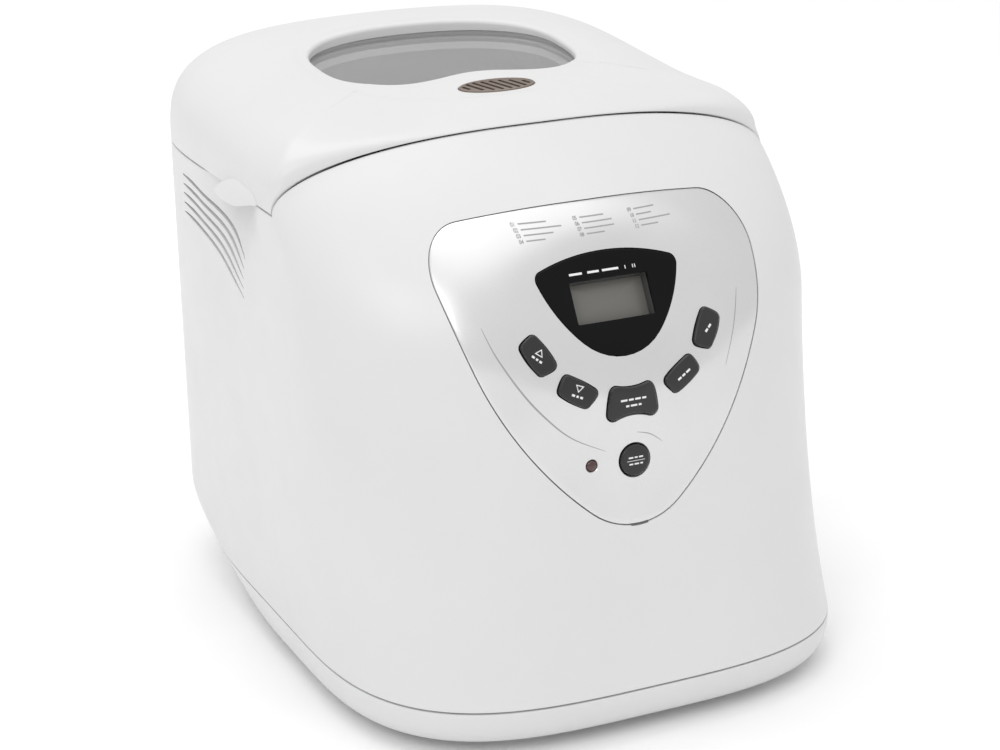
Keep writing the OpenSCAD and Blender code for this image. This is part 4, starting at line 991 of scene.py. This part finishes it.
def build_panel():
    panel = surface_plate("panel_face", panel_outline, PANEL_MID_Z, PANEL_T, PANEL_EDGE_R, M["satin_silver"])
    cutters = [outline_cutter("shield_hole", shield_outline(SHIELD_GAP))]
    for name, (spot, outline_of) in KEYS.items():
        cutters.append(panel_prism("hole_" + name, spot, outline_of,
                                   [(-8, KEY_GAP), (-0.55, KEY_GAP), (0.6, KEY_GAP + 1.15)]))
    cutters.append(panel_prism("hole_led", LED_SPOT, lambda grow: round_outline(LED_R + grow, 48),
                               [(-8, 0.15), (-0.4, 0.15), (0.6, 1.15)]))
    cut(panel, cutters, 30)
    return settle(panel, "cabinet", "control_panel")


DISPLAY_W, DISPLAY_H, DISPLAY_MID_Z, DISPLAY_DEPTH = 39.0, 19.4, 195.4, 6.0


def rectangle(w, h, r=0.6, n=4):
    points = []
    for cx, cz, start in ((w / 2 - r, -h / 2 + r, -90), (w / 2 - r, h / 2 - r, 0),
                          (-w / 2 + r, h / 2 - r, 90), (-w / 2 + r, -h / 2 + r, 180)):
        points += arc((cx, cz), r, radians(start), 0.5 * pi, n)
    return points


def build_display():
    shield = surface_plate("display_lens", shield_outline, SHIELD_MID_Z, SHIELD_T, SHIELD_EDGE_R,
                           M["gloss_black"], SHIELD_PROUD, 24)
    spot = (0, DISPLAY_MID_Z)
    hole = panel_prism("display_hole", spot, lambda grow: rectangle(DISPLAY_W + grow, DISPLAY_H + grow),
                       [(-8, 0), (8, 0)])
    cut(shield, [hole])
    settle(shield, "cabinet", "display_shield")

    bottom = -DISPLAY_DEPTH - 2
    rings = []
    for w, grow in ((-1.9, 3), (-1.0, 0.1), (-DISPLAY_DEPTH, 0.1), (-DISPLAY_DEPTH, -0.6),
                    (bottom, -0.6), (bottom, 3)):
        rings.append(panel_ring(spot, rectangle(DISPLAY_W + grow, DISPLAY_H + grow), w))
    well = loft("display_well", rings, WELL, closed=True)
    settle(well, "cabinet", slot_name="black_plastic")
    rings = []
    for w, s in ((-DISPLAY_DEPTH - 1.5, 1), (-DISPLAY_DEPTH + 0.1, 1), (-DISPLAY_DEPTH + 0.2, 0.97)):
        rings.append([panel_place(spot, u * s, v * s, w)
                      for u, v in rectangle(DISPLAY_W - 0.8, DISPLAY_H - 0.8)])
    glass = loft("display_glass", rings, M["lcd"], closed=False, caps=True)
    settle(glass, "cabinet", "lcd_module")


KEY_EDGE_R, KEY_SKIRT, KEY_CROWN = 1.1, 6, 0.25
STROKE_TOP, STROKE_T, BAR_GAP = KEY_PROUD + 0.28, 0.35, 0.55


def key_mesh(name, spot, outline_of):
    """A key cap: rounded rim, slightly crowned face and skirt."""
    proud, edge = KEY_PROUD, KEY_EDGE_R
    rings = [panel_ring(spot, outline_of(0), -KEY_SKIRT)]
    n = 6
    for k in range(n + 1):
        a = 0.5 * pi * k / n
        rings.append(panel_ring(spot, outline_of(-edge * (1 - cos(a))), proud - edge + edge * sin(a)))
    face = outline_of(-edge)
    for s in (0.8, 0.6, 0.4, 0.2, 0.03):
        rings.append([panel_place(spot, u * s, v * s, proud + KEY_CROWN * (1 - s * s)) for u, v in face])
    return loft("cap_" + name, rings, M["key_plastic"], closed=False, caps=True)


def stroke(spot, points, width, closed=False):
    """A printed line of even width through points, on a key face: one closed strip."""
    n = len(points)
    left, right = [], []
    for i, (x, y) in enumerate(points):
        ax, ay = points[i - 1] if (i or closed) else points[i]
        bx, by = points[(i + 1) % n] if (i < n - 1 or closed) else points[i]
        d = hypot(bx - ax, by - ay) or 1.0
        nx, ny = -(by - ay) / d, (bx - ax) / d
        stretch = 1.0
        if closed or 0 < i < n - 1:
            d0 = hypot(x - ax, y - ay) or 1.0
            dot = (nx * -(y - ay) + ny * (x - ax)) / d0
            stretch = 1 / max(abs(dot), 0.4)
        left.append((x + nx * width / 2 * stretch, y + ny * width / 2 * stretch))
        right.append((x - nx * width / 2 * stretch, y - ny * width / 2 * stretch))
    loops = []
    for w in (STROKE_TOP - STROKE_T, STROKE_TOP):
        loops += [panel_ring(spot, left, w), panel_ring(spot, right, w)]
    low_l, low_r, top_l, top_r = range(4)
    verts = [p for lp in loops for p in lp]

    def v_at(loop, i):
        return loop * n + i % n

    faces = []
    for i in range(n if closed else n - 1):
        for a, b in ((top_l, top_r), (top_r, low_r), (low_r, low_l), (low_l, top_l)):
            faces.append((v_at(a, i), v_at(a, i + 1), v_at(b, i + 1), v_at(b, i)))
    if not closed:
        for i in (0, n - 1):
            faces.append((v_at(top_l, i), v_at(top_r, i), v_at(low_r, i), v_at(low_l, i)))
    obj = new_object("stroke", verts, faces, PRINT_WHITE)
    outward(obj)
    return obj


def turned(points, angle):
    c, s = cos(radians(angle)), sin(radians(angle))
    return [(a * c - b * s, a * s + b * c) for a, b in points]


def bars(spot, angle, rows, height=1.0):
    """Rows of short bars: (centre u, centre v, lengths), turned by an angle."""
    marks = []
    for u0, v0, lengths in rows:
        u = u0 - (sum(lengths) + BAR_GAP * (len(lengths) - 1)) / 2
        for length in lengths:
            points = [(u + height * 0.1, v0), (u + length / 2, v0), (u + length - height * 0.1, v0)]
            marks.append(stroke(spot, turned(points, angle), height))
            u += length + BAR_GAP
    return marks


def key_marks(name, spot):
    """Plain bars and arrows in place of lettering."""
    if name == "time_up":
        return ([stroke(spot, turned([(-1.7, 0.5), (1.7, 0.5), (0, 3.2)], -38), 0.4, True)]
                + bars(spot, -42, [(0.2, -1.6, (1.7, 1.3, 1.5))]))
    if name == "time_down":
        return ([stroke(spot, turned([(-1.7, 3.2), (0, 0.5), (1.7, 3.2)], -22), 0.4, True)]
                + bars(spot, -24, [(0.2, -1.6, (1.7, 1.3, 1.5))]))
    if name == "loaf_size":
        return bars(spot, 0, [(0, 1.2, (3.4, 2.6, 3.0, 2.2)), (0, -1.6, (1.8, 3.4, 1.6))], 0.9)
    if name == "menu":
        return bars(spot, 30, [(0, 0, (2.2, 2.0, 2.6))])
    if name == "crust":
        return bars(spot, 42, [(0, 0, (2.0, 2.2))])
    return (bars(spot, 0, [(0, 1.5, (2.4, 1.6, 2.2))], 0.7) + bars(spot, 0, [(0, -1.5, (2.0, 2.4, 1.4))], 0.7)
            + [stroke(spot, [(-4.4, 0), (0, 0), (4.4, 0)], 0.22)])


def build_keys():
    for name, (spot, outline_of) in KEYS.items():
        cap = key_mesh(name, spot, outline_of)
        marks = join("marks", key_marks(name, spot))
        key = join("key_cap_" + name, [cap, marks])
        settle(key, name + "_key", "key_" + name)


LED_DEPTH, LED_RIM, LED_DOME = 8, 0.9, 1.5


def build_led():
    rings = [panel_ring(LED_SPOT, round_outline(LED_R, 48), -LED_DEPTH)]
    n = 8
    for k in range(n):
        a = 0.5 * pi * k / n
        rings.append(panel_ring(LED_SPOT, round_outline(LED_R * cos(a), 48), -LED_RIM + LED_DOME * sin(a)))
    led = loft("indicator_lens", rings, M["led"], closed=False, caps=True)
    settle(led, "cabinet", "status_led")


# printed lines, and the notch's painted shade: how far off the panel, and the depth of their roots
PRINT_BACK, SHIELD_PRINT_BACK, NOTCH_SHADE_BACK, PRINT_ROOT = -0.06, -0.32, -0.12, 0.4


def surface_strip(name, points, widths, material, back=PRINT_BACK):
    """A tapered strip on the panel surface through (x, z) points, for printed lines and for the notch's
    painted shade.
    """
    n = len(points)
    rings = []
    for i, (x, z) in enumerate(points):
        ax, az = points[max(i - 1, 0)]
        bx, bz = points[min(i + 1, n - 1)]
        d = hypot(bx - ax, bz - az)
        nx, nz = -(bz - az) / d, (bx - ax) / d
        h = widths[i] / 2
        ring = []
        for side, depth in ((1, PRINT_ROOT), (1, back), (-1, back), (-1, PRINT_ROOT)):
            ring.append(on_surface(x + side * nx * h, z + side * nz * h, depth))
        rings.append(ring)
    return loft(name, rings, material, closed=False, caps=True, angle=20)


def curve_through(points, n):
    """Catmull-Rom curve through a few given points."""
    pts = [points[0]] + list(points) + [points[-1]]
    out = []
    for i in range(1, len(pts) - 2):
        p0, p1, p2, p3 = pts[i - 1:i + 3]
        for k in range(n):
            t = k / n
            out.append(tuple(0.5 * (2 * p1[j] + (p2[j] - p0[j]) * t
                                    + (2 * p0[j] - 5 * p1[j] + 4 * p2[j] - p3[j]) * t * t
                                    + (3 * p1[j] - p0[j] - 3 * p2[j] + p3[j]) * t ** 3) for j in (0, 1)))
    out.append(tuple(points[-1]))
    return out


# the thin lines round the keys: points, steps from one to the next, greatest width
ACCENTS = (
    (((-64.9, 191.5), (-61, 180), (-52.5, 165), (-42.8, 152.2), (-30.3, 140.3), (-14, 131.8)), 10, 0.75),
    (((62.8, 191.9), (58.5, 180), (51, 160)), 10, 0.32),
    (((1.8, 138.2), (8.5, 136.2), (14.6, 131.7)), 8, 0.4),
)


def build_accents():
    strips = []
    for points, steps, width in ACCENTS:
        line = curve_through(points, steps)
        n = len(line) - 1
        widths = [0.06 + width * sin(pi * (0.06 + 0.9 * k / n)) for k in range(n + 1)]
        strips.append(surface_strip("accent", line, widths, PRINT_GREY))
    lines = join("panel_accents", strips)
    settle(lines, "cabinet", slot_name="grey_plastic")


def glyph_mesh(text, x, z):
    """A generic number laid on the panel surface."""
    curve = bpy.data.curves.new("number", "FONT")
    curve.body = text
    curve.size = DIGIT_SIZE
    curve.extrude = 0.12
    obj = placed("number", curve)
    mesh = bpy.data.meshes.new_from_object(obj.evaluated_get(bpy.context.evaluated_depsgraph_get()))
    bpy.data.objects.remove(obj)
    for v in mesh.vertices:
        px, pz = x + v.co.x, z + v.co.y
        v.co = at(*on_surface(px, pz, PRINT_BACK - v.co.z))
    mesh.materials.clear()
    mesh.materials.append(PRINT_GREY)
    return placed("number", mesh)


def build_notch_shade():
    """Painted shade of the finger notch for lifting the panel off, at its lower tip: a dark strip on the
    panel, where no recess is cut.
    """
    left, length, z, width, n = -3.5, 8.5, 95.9, 0.9, 10
    line = [(left + length * k / n, z + 0.012 * (k - 4) ** 2) for k in range(n + 1)]
    notch = surface_strip("panel_notch_shade", line, [width] * (n + 1), NOTCH_SHADE, NOTCH_SHADE_BACK)
    settle(notch, "cabinet", slot_name="black_plastic")


LIST_COLUMNS = ((-38.5, (13, 19, 14, 9)), (-9.5, (12, 15, 15, 9)), (18.5, (11, 8, 17, 9)))
LIST_TOP, LIST_PITCH, LIST_SHIFT, DIGIT_SIZE = 228.0, 2.15, 0.35, 2.1
LIST_BAR_X, LIST_BAR_Z, LIST_BAR_W = 3.4, 0.7, 0.5


def build_program_list():
    """Twelve numbered rows; plain bars stand where the machine has words."""
    pieces = []
    n = 6
    for c, (x0, lengths) in enumerate(LIST_COLUMNS):
        for r, length in enumerate(lengths):
            z = LIST_TOP - LIST_PITCH * r
            x = x0 + LIST_SHIFT * r
            pieces.append(glyph_mesh(f"{4 * c + r + 1:02d}", x, z))
            bar = [(x + LIST_BAR_X + length * k / n, z + LIST_BAR_Z) for k in range(n + 1)]
            pieces.append(surface_strip("bar", bar, [LIST_BAR_W] * (n + 1), PRINT_GREY))
    marks = join("program_numbers", pieces)
    settle(marks, "cabinet", slot_name="grey_plastic")


MARK_Z, MARK_W = 207.2, 0.9
UPRIGHT_Z, UPRIGHT_H, UPRIGHT_W = 206.5, 1.4, 0.4


def build_display_marks():
    """Three level bars and three uprights over the display."""
    pieces = []
    for x0, x1 in ((-18.6, -12.2), (-9.5, -3.8), (-2.2, 6.0)):
        bar = [(x0 + (x1 - x0) * k / 4, MARK_Z) for k in range(5)]
        pieces.append(surface_strip("bar", bar, [MARK_W] * 5, PRINT_WHITE, SHIELD_PRINT_BACK))
    for x in (9.4, 13.2, 14.3):
        bar = [(x, UPRIGHT_Z + UPRIGHT_H * k / 3) for k in range(4)]
        pieces.append(surface_strip("bar", bar, [UPRIGHT_W] * 4, PRINT_WHITE, SHIELD_PRINT_BACK))
    marks = join("display_marks", pieces)
    settle(marks, "cabinet", slot_name="gloss_black")


# ---------------------------------------------------------------- build
for build in (build_cabinet, build_baffles, build_tray, build_lid, build_window_collar, build_vent,
              build_panel, build_display, build_keys, build_led, build_accents, build_notch_shade,
              build_program_list, build_display_marks):
    build()

# ---------------------------------------------------------------- floor, light, camera
FLOOR_SIZE, SKY = 6.0, 0.86
floor_mesh = bpy.data.meshes.new("floor")
half = FLOOR_SIZE / 2
floor_mesh.from_pydata([(x * half, y * half, 0) for x, y in ((-1, -1), (1, -1), (1, 1), (-1, 1))],
                       [], [(0, 1, 2, 3)])
floor_mesh.materials.append(FLOOR)
floor_obj = placed("floor", floor_mesh)

scene = bpy.context.scene
world = bpy.data.worlds.new("studio")
world.use_nodes = True
background = world.node_tree.nodes["Background"]
background.inputs["Color"].default_value = (1, 1, 1, 1)
background.inputs["Strength"].default_value = SKY
scene.world = world
scene.view_settings.view_transform = "Standard"


def soft_light(name, place, target, size, power):
    lamp = bpy.data.lights.new(name, "AREA")
    lamp.shape = "DISK"
    lamp.size = size
    lamp.energy = power
    obj = placed(name, lamp)
    obj.location = place
    obj.rotation_euler = (Vector(target) - Vector(place)).to_track_quat("-Z", "Y").to_euler()


# name, place, target (m), width (m), power (W)
soft_light("key", (0.5, -0.5, 2.8), (0, 0, 0.15), 2.4, 8)
soft_light("top", (-0.3, 0.9, 2.6), (0, 0, 0.15), 2.0, 15)
soft_light("glint", (-1.35, -1.35, 1.75), (0, 0, 0.2), 1.3, 9)

CAMERA_AT = (-476.6, -876.0, 521.9)
CAMERA_AZ, CAMERA_EL, CAMERA_ROLL = -24.39, 18.94, -1.13
FOCAL_PX, PICTURE_W, SENSOR = 2433.9, 1000.0, 36.0
SHIFT_X, SHIFT_Y = 0.00804, -0.01375
camera = bpy.data.cameras.new("camera")
camera.sensor_width = SENSOR
camera.lens = FOCAL_PX / PICTURE_W * SENSOR
camera.shift_x = SHIFT_X
camera.shift_y = SHIFT_Y
camera.clip_start = 0.05
camera_obj = placed("camera", camera)
az, el = radians(CAMERA_AZ), radians(CAMERA_EL)
back = Vector((sin(az) * cos(el), -cos(az) * cos(el), sin(el)))
right = Vector((cos(az), sin(az), 0))
up = back.cross(right)
basis = Matrix((right, up, back)).transposed() @ Matrix.Rotation(radians(CAMERA_ROLL), 3, "Z")
camera_obj.matrix_world = Matrix.Translation(at(*CAMERA_AT)) @ basis.to_4x4()
scene.camera = camera_obj
